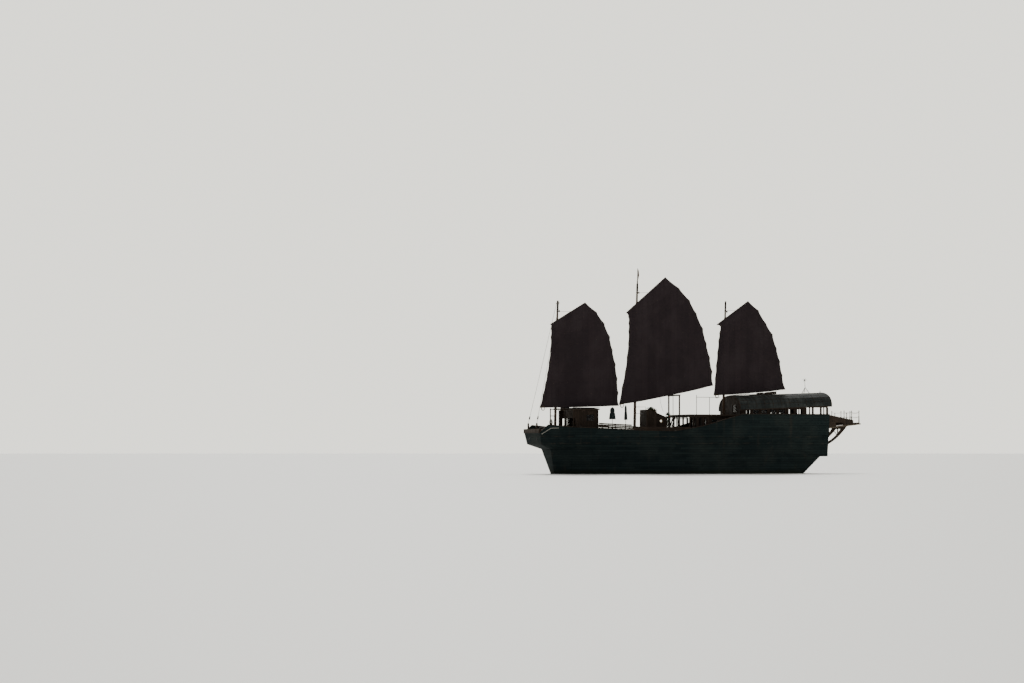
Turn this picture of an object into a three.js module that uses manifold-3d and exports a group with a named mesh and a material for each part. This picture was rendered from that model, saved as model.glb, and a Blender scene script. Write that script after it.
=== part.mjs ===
// A three-masted junk of the Gulf of Tonkin kind, afloat.
// Millimetres, +Z up, bow towards -X, port side towards -Y.
// The origin is on the centreline at the waterline, amidships.
import * as THREE from 'three';
import { mergeVertices } from 'three/addons/utils/BufferGeometryUtils.js';
import Module from 'manifold-3d';

const wasm = await Module();
wasm.setup();

// Driving dimensions
const SEAT = 0.3;             // gap left between two pieces that touch
const PLANK = 50;             // deck planking
const BULWARK = 100;          // thickness of the hull's side above the deck
const FORE_DECK = 4200;       // heights of the three decks above the water
const MAIN_DECK = 3600;
const STERN_DECK = 4950;
const DECK_BREAK_FORE = -8600;
const DECK_BREAK_AFT = 5700;
const WALL = 70;              // deckhouse walls
const FORE_HOUSE = { x0: -10500, x1: -8800, half: 1900, top: 6310, porch: -11400 };
const COMPANION = { x0: -3470, flat: -3130, x1: -1370, half: 1000, high: 6360, low: 5630 };
const MID_HOUSE = { x0: 2400, x1: 5640, half: 2700, veranda: 350, roofTop: 5800, roof: 80, eave: 3000 };
const STERN_HOUSE = { x0: 5760, bulkhead: 12600, x1: 15150, half: 2850 };
const ROOF = {
  x0: 5700, x1: 15550, half: 3000, eave0: 6350, eave1: 6780, rise0: 1440, rise1: 1370, shell: 70, lip: 60,
};
const STERN_LIGHT = { low: 5960, high: 6420, width: 640, count: 7 };
const GALLERY = { x0: 15320, x1: 19500, half0: 2150, half1: 1140, z0: 4600, z1: 5060, deck: 120 };
const DOOR = { width: 700, thick: 41, knuckle: 10, jamb: 10, gap: 6 };

// The hull's frames from bow to stern. Each row holds, for the lines of the hull in the order
// keel, floor, bilge, waterline, knuckle, wale, rail: x along the hull, y half-breadth, z height.
const FRAMES = [
  { x: [-12300, -12350, -12600, -12930, -13600, -14840, -15030],
    y: [0, 250, 450, 600, 1500, 2300, 2700], z: [-1500, -1450, -900, 0, 2430, 2920, 4100] },
  { x: [-11900, -11950, -12150, -12450, -13000, -14000, -14200],
    y: [0, 450, 800, 1000, 1800, 2480, 2800], z: [-1600, -1550, -900, 0, 2430, 2950, 4780] },
  { x: [-10800, -10800, -10900, -11100, -11600, -12200, -12200],
    y: [0, 1000, 1500, 1750, 2400, 2800, 2980], z: [-1700, -1640, -900, 0, 2430, 2950, 4600] },
  { x: -9000, y: [0, 1700, 2400, 2650, 3050, 3230, 3300], z: [-1700, -1630, -900, 0, 2430, 2950, 4460] },
  { x: -5000, y: [0, 2200, 3050, 3350, 3600, 3690, 3700], z: [-1700, -1620, -900, 0, 2430, 2950, 4260] },
  { x: -1500, y: [0, 2350, 3250, 3550, 3750, 3800, 3800], z: [-1700, -1620, -900, 0, 2430, 2950, 4200] },
  { x: 1500, y: [0, 2350, 3250, 3550, 3750, 3800, 3800], z: [-1700, -1620, -900, 0, 2430, 2950, 4700] },
  { x: 5700, y: [0, 2100, 3000, 3400, 3680, 3760, 3700], z: [-1700, -1600, -850, 0, 2430, 2950, 5900] },
  { x: 10000, y: [0, 1300, 2300, 2950, 3420, 3520, 3450], z: [-1500, -1350, -750, 0, 2200, 2700, 5900] },
  { x: [11300, 11400, 12100, 12850, 14320, 15100, 15300],
    y: [0, 500, 1300, 2000, 2750, 2900, 3000], z: [-1050, -1000, -700, 0, 1700, 1720, 5900] },
];
const WALE = 5;               // places of two of the lines in a frame
const RAIL = 6;

// Masts: foot and head on the centreline, and the radii there
const MASTS = {
  fore: { foot: [-12660, FORE_DECK], head: [-12370, 17000], r0: 135, r1: 75 },
  main: { foot: [-4400, MAIN_DECK], head: [-4055, 18950], r0: 150, r1: 75, pole: 1500 },
  mizzen: { foot: [5000, MAIN_DECK], head: [5320, 17200], r0: 135, r1: 70 },
};

// Sails: for the yard, each batten and the boom, the luff end and the leech end as x and z
const SAILS = {
  fore: [
    { luff: [-13200, 14700], leech: [-9600, 16900] },
    { luff: [-13190, 14310], leech: [-8420, 15990] },
    { luff: [-13200, 13480], leech: [-7610, 14880] },
    { luff: [-13240, 12270], leech: [-7030, 13570] },
    { luff: [-13380, 11005], leech: [-6750, 12255] },
    { luff: [-13550, 9840], leech: [-6430, 10840] },
    { luff: [-13740, 8830], leech: [-6250, 9430] },
    { luff: [-13980, 7765], leech: [-6150, 8015] },
    { luff: [-14260, 6550], leech: [-6120, 6780] },
  ],
  main: [
    { luff: [-5300, 15950], leech: [-1170, 19550] },
    { luff: [-5120, 15560], leech: [270, 18500] },
    { luff: [-5100, 14950], leech: [1390, 17300] },
    { luff: [-5100, 14150], leech: [2110, 16000] },
    { luff: [-5110, 13000], leech: [2800, 14500] },
    { luff: [-5250, 11600], leech: [3180, 13000] },
    { luff: [-5430, 10100], leech: [3540, 11600] },
    { luff: [-5750, 8550], leech: [3790, 10200] },
    { luff: [-6060, 6870], leech: [3860, 8850] },
  ],
  mizzen: [
    { luff: [4320, 14900], leech: [7660, 17300] },
    { luff: [4640, 14750], leech: [8770, 16400] },
    { luff: [4540, 14080], leech: [9580, 15100] },
    { luff: [4450, 13300], leech: [10290, 14000] },
    { luff: [4350, 12100], leech: [10720, 12600] },
    { luff: [4230, 10850], leech: [11080, 11300] },
    { luff: [4140, 9550], leech: [11330, 9900] },
    { luff: [3990, 7850], leech: [11640, 8500] },
  ],
};
const MAST_SIDES = 16;
const CLOTH = { y0: -320, y1: -300 };            // the sails hang on the port side of their masts
const SPAR = { y: -235, radius: 62 };            // yards and booms
const BATTEN = { y: CLOTH.y1 + SEAT + 28, half: 28 };
const PARREL = { wall: 40, height: 90 };         // collars that hold yard and boom to the mast
const STAY = { ear: 400, top: 16850, radius: 14, footX: -14980, footY: 1430, footZ: 4950 };

const MATERIALS = {
  hull: new THREE.MeshStandardMaterial({ color: 0x1f2a2b, roughness: 0.75, metalness: 0 }),
  deck: new THREE.MeshStandardMaterial({ color: 0x5b4634, roughness: 0.8, metalness: 0 }),
  timber: new THREE.MeshStandardMaterial({ color: 0x3a2419, roughness: 0.65, metalness: 0 }),
  roof: new THREE.MeshStandardMaterial({ color: 0x2b2927, roughness: 0.85, metalness: 0 }),
  spar: new THREE.MeshStandardMaterial({ color: 0x4a3020, roughness: 0.6, metalness: 0 }),
  cloth: new THREE.MeshStandardMaterial({ color: 0x4b2a2c, roughness: 0.9, metalness: 0 }),
  canvas: new THREE.MeshStandardMaterial({ color: 0x6f6a60, roughness: 0.9, metalness: 0 }),
  iron: new THREE.MeshStandardMaterial({ color: 0x33363a, roughness: 0.5, metalness: 0.8 }),
  bronze: new THREE.MeshStandardMaterial({ color: 0x8c6a35, roughness: 0.4, metalness: 0.9 }),
};

const ship = new THREE.Group();

function piece(name, material, shape) {
  const geometry = shape instanceof wasm.Manifold ? geometryOf(shape) : shape;
  const mesh = new THREE.Mesh(geometry, MATERIALS[material]);
  mesh.name = name;
  ship.add(mesh);
  return mesh;
}

// Solids for joining and cutting

function solid(geometry) {
  const bare = geometry.clone();
  bare.deleteAttribute('normal');
  bare.deleteAttribute('uv');
  const merged = mergeVertices(bare, 0.01);
  return new wasm.Manifold(new wasm.Mesh({
    numProp: 3,
    vertProperties: merged.attributes.position.array,
    triVerts: new Uint32Array(merged.index.array),
  }));
}

function geometryOf(shape) {
  const mesh = shape.getMesh();
  const geometry = new THREE.BufferGeometry();
  geometry.setAttribute('position', new THREE.BufferAttribute(mesh.vertProperties, 3));
  geometry.setIndex(new THREE.BufferAttribute(mesh.triVerts, 1));
  return geometry;
}

function joined(...geometries) {
  return geometries.map(solid).reduce((whole, next) => whole.add(next));
}

function cut(shape, ...tools) {
  return tools.map(solid).reduce((left, tool) => left.subtract(tool), shape);
}

// Basic shapes in the ship's frame

function box(x0, x1, y0, y1, z0, z1) {
  const geometry = new THREE.BoxGeometry(x1 - x0, y1 - y0, z1 - z0);
  return geometry.translate((x0 + x1) / 2, (y0 + y1) / 2, (z0 + z1) / 2);
}

// A round bar between two points; twist turns its flats about its own line
function rod(a, b, r0, r1 = r0, sides = 10, twist = 0) {
  const from = new THREE.Vector3(...a);
  const along = new THREE.Vector3(...b).sub(from);
  const geometry = new THREE.CylinderGeometry(r1, r0, along.length(), sides).rotateY(twist);
  geometry.translate(0, along.length() / 2, 0);
  const turn = new THREE.Quaternion().setFromUnitVectors(new THREE.Vector3(0, 1, 0), along.normalize());
  return geometry.applyQuaternion(turn).translate(from.x, from.y, from.z);
}

function shapeOf(points) {
  return new THREE.Shape(points.map(([u, v]) => new THREE.Vector2(u, v)));
}

// An outline in x and y, given thickness in z
function plate(points, z0, z1) {
  const geometry = new THREE.ExtrudeGeometry(shapeOf(points), { depth: z1 - z0, bevelEnabled: false });
  return geometry.translate(0, 0, z0);
}

// An outline in x and z, given thickness in y
function profile(points, y0, y1) {
  const geometry = new THREE.ExtrudeGeometry(shapeOf(points), { depth: y1 - y0, bevelEnabled: false });
  return geometry.rotateX(Math.PI / 2).translate(0, y1, 0);
}

// A closed skin over rings that all have the same number of points
function loft(rings) {
  const count = rings[0].length;
  const index = [];
  for (let r = 0; r + 1 < rings.length; r += 1) {
    for (let i = 0; i < count; i += 1) {
      const a = r * count + i;
      const b = r * count + (i + 1) % count;
      index.push(a, b, b + count, a, b + count, a + count);
    }
  }
  const last = (rings.length - 1) * count;
  for (let i = 0, j = count - 1; i + 1 < j; i += 1, j -= 1) {
    index.push(i, j, i + 1);
    index.push(last + i, last + i + 1, last + j);
    if (i + 1 < j - 1) {
      index.push(i + 1, j, j - 1);
      index.push(last + i + 1, last + j - 1, last + j);
    }
  }
  const geometry = new THREE.BufferGeometry();
  geometry.setAttribute('position', new THREE.Float32BufferAttribute(rings.flat(2), 3));
  geometry.setIndex(index);
  return geometry;
}

function between(a, b, t) {
  return a + (b - a) * t;
}

// The hull

// One line of the hull, such as the rail, as a list of [x, y, z] from bow to stern
function hullLine(line) {
  return FRAMES.map((frame) => [
    Array.isArray(frame.x) ? frame.x[line] : frame.x, frame.y[line], frame.z[line],
  ]);
}

function onLine(points, x) {
  const found = points.findIndex((point) => point[0] > x);
  const next = found < 0 ? points.length - 1 : Math.max(found, 1);
  const [a, b] = [points[next - 1], points[next]];
  const t = (x - a[0]) / (b[0] - a[0]);
  return { y: between(a[1], b[1], t), z: between(a[2], b[2], t) };
}

const RAIL_LINE = hullLine(RAIL);
const WALE_LINE = hullLine(WALE);

function halfBreadth(x, z) {
  const low = onLine(WALE_LINE, x);
  const high = onLine(RAIL_LINE, x);
  return between(low.y, high.y, (z - low.z) / (high.z - low.z));
}

function frameRing(frame) {
  const side = frame.y.map((y, i) => [Array.isArray(frame.x) ? frame.x[i] : frame.x, y, frame.z[i]]);
  const port = side.slice(1).reverse().map(([x, y, z]) => [x, -y, z]);
  return [...port, ...side];
}

// The frames' places along the rail between two ends, and the ends
function stationsFrom(x0, x1) {
  const apart = 50;
  return [x0, ...RAIL_LINE.map(([x]) => x).filter((x) => x > x0 + apart && x < x1 - apart), x1];
}

// The outline of a deck inside the bulwarks, from x0 to x1
function deckOutline(x0, x1, z, inset) {
  const topOfSide = z + 800;
  const side = stationsFrom(x0, x1)
    .map((x) => [x, Math.min(halfBreadth(x, z), halfBreadth(x, topOfSide)) - inset]);
  return [...side, ...side.slice().reverse().map(([x, y]) => [x, -y])];
}

// A timber along the hull's side at one height, let into the planking by its root
function strake(side, { z, depth, proud, root, x0, x1 }) {
  return loft(stationsFrom(x0, x1).map((x) => {
    const y = halfBreadth(x, z);
    const ring = [[x, y - root, z - depth / 2], [x, y + proud, z - depth / 2],
      [x, y + proud, z + depth / 2], [x, y - root, z + depth / 2]];
    return side > 0 ? ring : ring.reverse().map(([u, v, w]) => [u, -v, w]);
  }));
}

const DECKS = [
  { name: 'fore_deck', x0: -14700, x1: DECK_BREAK_FORE, z: FORE_DECK },
  { name: 'main_deck', x0: DECK_BREAK_FORE, x1: DECK_BREAK_AFT, z: MAIN_DECK },
  { name: 'stern_deck', x0: DECK_BREAK_AFT, x1: 15180, z: STERN_DECK },
];
const STRAKES = [
  { z: 3650, depth: 150, proud: 60, root: 60, x0: -13600, x1: 15000 },
  { z: 3000, depth: 200, proud: 45, root: 60, x0: -13600, x1: 14900 },
];
const CLEAR = { x: 20000, y: 5000, low: -3000, top: 7000 };   // outside the hull on every side

let shell = solid(loft(FRAMES.map(frameRing)));
for (const { x0, x1, z } of DECKS) {
  shell = cut(shell, plate(deckOutline(x0, x1, z, BULWARK), z - PLANK, CLEAR.top));
}
for (const side of [-1, 1]) {
  for (const timber of STRAKES) {
    shell = shell.add(solid(strake(side, timber)));
  }
}

// The room up to the undersides of the decks, grown by a margin
function belowDecks(margin) {
  const breaks = [-CLEAR.x, DECK_BREAK_FORE, DECK_BREAK_AFT, CLEAR.x];
  return joined(...DECKS.map(({ z }, i) => box(breaks[i] - margin, breaks[i + 1] + margin,
    -CLEAR.y, CLEAR.y, CLEAR.low, z - PLANK + margin)));
}

// The bulwarks stand on the hull as pieces of their own, parted at stem and stern
function bulwark(side) {
  const [y0, y1] = side > 0 ? [SEAT / 2, CLEAR.y] : [-CLEAR.y, -SEAT / 2];
  const half = solid(box(-CLEAR.x, CLEAR.x, y0, y1, CLEAR.low, CLEAR.top));
  return shell.subtract(belowDecks(SEAT)).intersect(half);
}

piece('hull', 'hull', shell.intersect(belowDecks(0)));
piece('bulwark_port', 'hull', bulwark(-1));
piece('bulwark_starboard', 'hull', bulwark(1));
const DECK_EDGE = 5;          // caulked seam round each deck
for (const { name, x0, x1, z } of DECKS) {
  const outline = deckOutline(x0 + DECK_EDGE, x1 - DECK_EDGE, z, BULWARK + DECK_EDGE);
  piece(name, 'deck', plate(outline, z - PLANK + SEAT, z));
}

const CAP = { inboard: BULWARK + 20, outboard: 50, thick: 60 };
function capRail(side) {
  return loft(RAIL_LINE.map(([x, y, z]) => {
    const ring = [[x, y - CAP.inboard, z + SEAT], [x, y + CAP.outboard, z + SEAT],
      [x, y + CAP.outboard, z + CAP.thick], [x, y - CAP.inboard, z + CAP.thick]];
    return side > 0 ? ring : ring.reverse().map(([u, v, w]) => [u, -v, w]);
  }));
}

piece('cap_rail_port', 'timber', capRail(-1));
piece('cap_rail_starboard', 'timber', capRail(1));

// A piece cut away where the hull is, so that it rests on the hull's skin
function seated(shape, dx, dy, dz) {
  return shape.subtract(shell.translate([dx, dy, dz]));
}

const BOW_BEAM = { x0: -15130, x1: -14860, half: 2540, low: 4000, z: 4420, post: 70 };
const bowBeam = joined(
  box(BOW_BEAM.x0, BOW_BEAM.x1, -BOW_BEAM.half, BOW_BEAM.half, BOW_BEAM.low, BOW_BEAM.z),
  ...[-1, 1].map((side) => box(
    STAY.footX - BOW_BEAM.post, STAY.footX + BOW_BEAM.post,
    side * STAY.footY - BOW_BEAM.post, side * STAY.footY + BOW_BEAM.post,
    BOW_BEAM.z - 10, STAY.footZ,
  )),
);
piece('bow_beam', 'timber', seated(bowBeam, -SEAT, 0, SEAT));

// Skeg with the stern tube and the shoe under the rudder
const SHAFT_Z = -850;
const KEEL = -1700;
const SCREW = { x0: 12440, x1: 12760, radius: 500, hub: 95 };
const STOCK = { x: 13200, radius: 60 };
const skeg = joined(
  profile([[6200, KEEL], [12150, KEEL], [12150, -400], [6200, -400]], -90, 90),
  box(12100, 13420, -110, 110, KEEL, KEEL + 90),
  rod([10700, 0, SHAFT_Z], [SCREW.x0 - 20, 0, SHAFT_Z], 120, 110, 16),
);
piece('skeg', 'hull', seated(skeg, 0, 0, -SEAT));

// Screw: four raked blades on a hub, with its length of shaft
function blade(turn) {
  const outline = new THREE.Shape();
  outline.moveTo(-70, 60);
  outline.quadraticCurveTo(-230, 300, -90, SCREW.radius - 40);
  outline.quadraticCurveTo(0, SCREW.radius + 25, 90, SCREW.radius - 40);
  outline.quadraticCurveTo(230, 300, 70, 60);
  const geometry = new THREE.ExtrudeGeometry(outline, { depth: 22, bevelEnabled: false, curveSegments: 5 });
  const centre = (SCREW.x0 + SCREW.x1) / 2;
  return geometry.translate(0, 0, -11).rotateY(Math.PI * 0.32).rotateX(Math.PI / 2)
    .rotateX(turn).translate(centre, 0, SHAFT_Z);
}

piece('propeller', 'bronze', joined(
  rod([SCREW.x0, 0, SHAFT_Z], [SCREW.x1, 0, SHAFT_Z], SCREW.hub, SCREW.hub * 0.8, 16),
  rod([SCREW.x0 - 19.7, 0, SHAFT_Z], [SCREW.x0 + 10, 0, SHAFT_Z], 45, 45, 12),
  ...[0, 1, 2, 3].map((turn) => blade((turn * Math.PI) / 2)),
));

// Rudder: blade on a stock that runs up into the counter and down to the shoe
const RUDDER = { top: -160, foot: KEEL + 130, fore: 12960, aft: 14120, thick: 90, stockTop: 320 };
piece('rudder', 'hull', joined(
  profile([[RUDDER.fore, RUDDER.foot], [RUDDER.aft, RUDDER.foot + 120], [RUDDER.aft - 60, RUDDER.top],
    [RUDDER.fore, RUDDER.top]], -RUDDER.thick / 2, RUDDER.thick / 2),
  rod([STOCK.x, 0, KEEL + 90 + SEAT], [STOCK.x, 0, RUDDER.stockTop], STOCK.radius, STOCK.radius, 14),
));

// Masts

function mastX(mast, z) {
  return between(mast.foot[0], mast.head[0], (z - mast.foot[1]) / (mast.head[1] - mast.foot[1]));
}

// A raked mast with its foot cut level on the deck
function mastRod(mast) {
  const below = mast.foot[1] - 60;
  const round = rod([mastX(mast, below), 0, below], [mast.head[0], 0, mast.head[1]], mast.r0, mast.r1,
    MAST_SIDES);
  const deck = box(mast.foot[0] - 400, mast.foot[0] + 400, -400, 400, below - 200, mast.foot[1] + SEAT);
  return cut(solid(round), deck);
}

const foreEars = box(
  MASTS.fore.head[0] - 60, MASTS.fore.head[0] + 40,
  -STAY.ear - 40, STAY.ear + 40, STAY.top - 45, STAY.top + 45,
);
piece('fore_mast', 'spar', mastRod(MASTS.fore).add(solid(foreEars)));
const mainHead = MASTS.main.head;
const mainPole = rod(
  [mainHead[0], 0, mainHead[1] - 40], [mainHead[0] + 30, 0, mainHead[1] + MASTS.main.pole], 34, 24, 8,
);
const mainMast = mastRod(MASTS.main).add(solid(mainPole));
piece('main_mast', 'spar', mainMast);
piece('mizzen_mast', 'spar', mastRod(MASTS.mizzen));

// Forestays from the bow beam's posts to the ears on the foremast
for (const [side, name] of [[-1, 'forestay_port'], [1, 'forestay_starboard']]) {
  const foot = new THREE.Vector3(STAY.footX, side * STAY.footY, STAY.footZ + SEAT);
  const head = new THREE.Vector3(MASTS.fore.head[0] - 10, side * STAY.ear, STAY.top - 45 - SEAT);
  const at = (t) => foot.clone().lerp(head, t).toArray();
  piece(name, 'iron', joined(
    rod(at(0.002), at(0.999), STAY.radius, STAY.radius, 8),
    rod(at(0.035), at(0.06), 75, 55, 10),
    box(foot.x - 45, foot.x + 45, foot.y - 45, foot.y + 45, foot.z, foot.z + 60),
  ));
}

// Post in front of the foremast with its two ties
const BITT_X = -13140;
piece('mast_bitt', 'timber', joined(
  box(BITT_X - 45, BITT_X + 45, -45, 45, FORE_DECK + SEAT, 6450),
  ...[5700, 6340].map((z) => box(BITT_X, mastX(MASTS.fore, z) - 134, -35, 35, z - 35, z + 35)),
));

// Sails

function sailCloth(rows) {
  const hem = 30;             // the battens' ends stand out of the cloth's edges
  const lap = 25;             // the head laps over the middle of the yard
  const luff = rows.map(({ luff: [x, z] }, i) => [x + hem, i ? z : z + lap]);
  const leech = rows.map(({ leech: [x, z] }, i) => [x - hem, i ? z : z + lap]);
  return profile([...luff, ...leech.reverse()], CLOTH.y0, CLOTH.y1);
}

// A collar round a mast. Its flats face the mast's edges, so that it can turn.
function collar(mast, z) {
  const low = z - PARREL.height / 2;
  const radius = between(mast.r0, mast.r1, (low - mast.foot[1]) / (mast.head[1] - mast.foot[1]));
  const inner = (radius + SEAT) / Math.cos(Math.PI / MAST_SIDES);
  const ring = (r, half) => rod([mastX(mast, z - half), 0, z - half], [mastX(mast, z + half), 0, z + half],
    r, r, MAST_SIDES, Math.PI / MAST_SIDES);
  const outer = joined(
    ring(inner + PARREL.wall, PARREL.height / 2),
    box(mastX(mast, z) - 70, mastX(mast, z) + 70, SPAR.y + 20, -inner - 10, z - 30, z + 30),
  );
  return cut(outer, ring(inner, PARREL.height));
}

// A yard or boom beside the cloth, with its collar
function spar({ luff, leech }, mast) {
  const round = rod([luff[0], SPAR.y, luff[1]], [leech[0], SPAR.y, leech[1]], SPAR.radius, SPAR.radius * 0.85);
  round.computeBoundingBox();
  round.translate(0, CLOTH.y1 + SEAT - round.boundingBox.min.y, 0);
  const slope = (leech[1] - luff[1]) / (leech[0] - luff[0]);
  const z = luff[1] + slope * (mastX(mast, luff[1]) - luff[0]);
  return solid(round).add(collar(mast, z));
}

// Battens with the bolt ropes that tie them together along luff and leech
function battenLadder(rows) {
  const inner = rows.slice(1, -1);
  const bar = ({ luff, leech }) => {
    const slope = Math.atan2(leech[1] - luff[1], leech[0] - luff[0]);
    const length = Math.hypot(leech[0] - luff[0], leech[1] - luff[1]);
    return new THREE.BoxGeometry(length, BATTEN.half * 2, BATTEN.half * 2)
      .translate(length / 2, 0, 0).rotateY(-slope).translate(luff[0], BATTEN.y, luff[1]);
  };
  const rope = (end) => inner.slice(1).map((row, i) => {
    const [a, b] = [inner[i][end], row[end]];
    const inward = end === 'luff' ? 90 : -90;
    return rod([a[0] + inward, BATTEN.y, a[1]], [b[0] + inward, BATTEN.y, b[1]], 16, 16, 6);
  });
  return joined(...inner.map(bar), ...rope('luff'), ...rope('leech'));
}

for (const [name, rows] of Object.entries(SAILS)) {
  piece(`${name}_sail`, 'cloth', sailCloth(rows));
  piece(`${name}_yard`, 'spar', spar(rows[0], MASTS[name]));
  piece(`${name}_boom`, 'spar', spar(rows[rows.length - 1], MASTS[name]));
  piece(`${name}_battens`, 'spar', battenLadder(rows));
}

// Furled pennant on the pole of the mainmast
const pennant = profile([
  [mainHead[0] + 10, 19250], [mainHead[0] + 150, 19350], [mainHead[0] + 175, 19750],
  [mainHead[0] + 120, 20200], [mainHead[0] + 30, 20380],
], -20, 20);
piece('pennant', 'cloth', solid(pennant).subtract(mainMast).subtract(mainMast.translate([SEAT, 0, 0])));

// Doors hang outside the wall's face: local x across the opening, y out of the wall, z up
function doorLeaf(height) {
  const face = -DOOR.knuckle + 1;
  const strap = (z) => [
    box(0, 180, -DOOR.knuckle, -2, z - 25, z + 25),
    rod([0, 0, z - 45], [0, 0, z + 45], DOOR.knuckle, DOOR.knuckle, 10),
  ];
  return joined(
    box(DOOR.jamb + DOOR.gap, DOOR.jamb + DOOR.gap + DOOR.width, face - DOOR.thick, face, 0, height),
    ...strap(height * 0.15), ...strap(height * 0.85),
  );
}

// The opening that a door's leaf fills, in the same local frame
function doorway(height) {
  const width = DOOR.width + 2 * DOOR.gap;
  return box(DOOR.jamb, DOOR.jamb + width, -400, 100, -DOOR.gap, height + DOOR.gap);
}

// Where each door's hinge stands; turn points the leaf from the hinge across the opening
const HINGE_OUT = DOOR.knuckle + SEAT;
const DOORS = {
  fore_house: { x: FORE_HOUSE.x0 - HINGE_OUT, y: -360, z: FORE_DECK + 20, height: 1850, turn: 1 },
  mid_house: { x: MID_HOUSE.x0 - HINGE_OUT, y: -360, z: MAIN_DECK + 20, height: 1850, turn: 1 },
  stern_house: { x: STERN_HOUSE.x0 - HINGE_OUT, y: 620, z: 5830, height: 1480, turn: 1 },
  veranda: {
    x: STERN_HOUSE.bulkhead + WALL + HINGE_OUT, y: 360, z: STERN_DECK + 20, height: 1850, turn: -1,
  },
};

function placed(geometry, { x, y, z, turn }) {
  return geometry.rotateZ((turn * Math.PI) / 2).translate(x, y, z);
}

for (const [name, door] of Object.entries(DOORS)) {
  piece(`${name}_door`, 'timber', placed(geometryOf(doorLeaf(door.height)), door));
}

function opening(door) {
  return placed(doorway(door.height), door);
}

// Windows in a row along both sides of a house
function windowsAlong(x0, x1, count, width, y0, y1, z0, z1) {
  const pitch = (x1 - x0) / count;
  return Array.from({ length: count }, (_, i) => {
    const centre = x0 + pitch * (i + 0.5);
    return box(centre - width / 2, centre + width / 2, y0, y1, z0, z1);
  });
}

// A window on each side of the middle, in a wall that runs across the ship
function windowsAcross(x, from, to, z0, z1) {
  return [-1, 1].map((side) => {
    const [y0, y1] = [side * from, side * to].sort((a, b) => a - b);
    return box(x - 200, x + 200, y0, y1, z0, z1);
  });
}

// Fore deckhouse with its porch
const fh = FORE_HOUSE;
const FORE_LIGHT = { width: 800, low: 5200, high: 5850 };
piece('fore_house', 'timber', cut(
  solid(box(fh.x0, fh.x1, -fh.half, fh.half, FORE_DECK + SEAT, fh.top - SEAT)),
  box(fh.x0 + WALL, fh.x1 - WALL, -fh.half + WALL, fh.half - WALL, FORE_DECK - 100, fh.top + 100),
  opening(DOORS.fore_house),
  ...windowsAlong(fh.x0, fh.x1, 1, FORE_LIGHT.width, -fh.half - 100, fh.half + 100, FORE_LIGHT.low,
    FORE_LIGHT.high),
  ...windowsAcross(fh.x1, 700, 1400, FORE_LIGHT.low, FORE_LIGHT.high),
  ...windowsAcross(fh.x0, 800, 1500, FORE_LIGHT.low, FORE_LIGHT.high),
));

// A roof with a slight crown across the ship
function crownedRoof(x0, x1, half, under, edge, crown) {
  const steps = 8;
  const top = Array.from({ length: steps + 1 }, (_, i) => {
    const y = between(half, -half, i / steps);
    return [y, edge + crown * (1 - (y / half) ** 2)];
  });
  const outline = [[-half, under], [half, under], ...top];
  return loft([x0, x1].map((x) => outline.map(([y, z]) => [x, y, z])));
}

piece('fore_house_roof', 'roof', crownedRoof(fh.porch - 50, fh.x1 + 100, 2050, fh.top, fh.top + 70, 90));
const POST = 45;              // half the width of the porch and veranda posts
const PORCH_HALF = 1820;
piece('fore_porch', 'timber', joined(
  ...[-PORCH_HALF, 655, PORCH_HALF].map((y) => box(fh.porch, fh.porch + 2 * POST, y - POST, y + POST,
    FORE_DECK + SEAT, fh.top - SEAT)),
  box(fh.porch, fh.porch + 2 * POST, -PORCH_HALF - POST, PORCH_HALF + POST, fh.top - 120, fh.top - SEAT),
));

// Companion house over the stairs, with a sloping roof, open at its after end
const ch = COMPANION;
const companionSlope = (ch.high - ch.low) / (ch.x1 - ch.flat);
function companionProfile(x0, x1, base, drop) {
  const low = ch.high - companionSlope * (x1 - ch.flat);
  return [[x0, base], [x1, base], [x1, low - drop], [ch.flat, ch.high - drop], [x0, ch.high - drop]];
}
const portLight = rod([-1940, -ch.half - 200, 5230], [-1940, ch.half + 200, 5230], 125, 125, 16);
piece('companion_house', 'timber', cut(
  solid(profile(companionProfile(ch.x0, ch.x1, MAIN_DECK + SEAT, 0), -ch.half, ch.half)),
  profile(companionProfile(ch.x0 + WALL, ch.x1 + 200, MAIN_DECK - 50, WALL), -ch.half + WALL, ch.half - WALL),
  portLight,
));

// Mid deckhouse, its veranda and the sun deck on top
const mh = MID_HOUSE;
const MID_LIGHT = { low: 4650, high: 5400 };
const POLES = { fore: 2190, aft: 3570, end: 4680, high: 7850, bar: 7630, radius: 30 };
const roofUnder = mh.roofTop - mh.roof;
piece('mid_house', 'timber', cut(
  solid(box(mh.x0, mh.x1, -mh.half, mh.half, MAIN_DECK + SEAT, roofUnder - SEAT)),
  box(mh.x0 + WALL, mh.x1 - WALL, -mh.half + WALL, mh.half - WALL, MAIN_DECK - 100, roofUnder + 100),
  opening(DOORS.mid_house),
  ...windowsAlong(mh.x0 + 150, mh.x1 - 150, 3, 620, -mh.half - 100, mh.half + 100, MID_LIGHT.low,
    MID_LIGHT.high),
  ...windowsAcross(mh.x0, 1100, 2100, MID_LIGHT.low, MID_LIGHT.high),
));
const VERANDA = { posts: [mh.veranda + 60, 1130, 1850], y: 2880, beam: 120 };
const beamLow = roofUnder - VERANDA.beam;
piece('veranda_frame', 'timber', joined(
  ...[-VERANDA.y, VERANDA.y].flatMap((y) => [
    ...VERANDA.posts.map((x) => box(x - POST, x + POST, y - POST, y + POST, MAIN_DECK + SEAT,
      roofUnder - SEAT)),
    box(VERANDA.posts[0] - POST, mh.x0 - 100, y - POST, y + POST, beamLow, roofUnder - SEAT),
  ]),
  box(VERANDA.posts[0] - POST, VERANDA.posts[0] + POST, -VERANDA.y - POST, VERANDA.y + POST, beamLow,
    roofUnder - SEAT),
));
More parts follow.
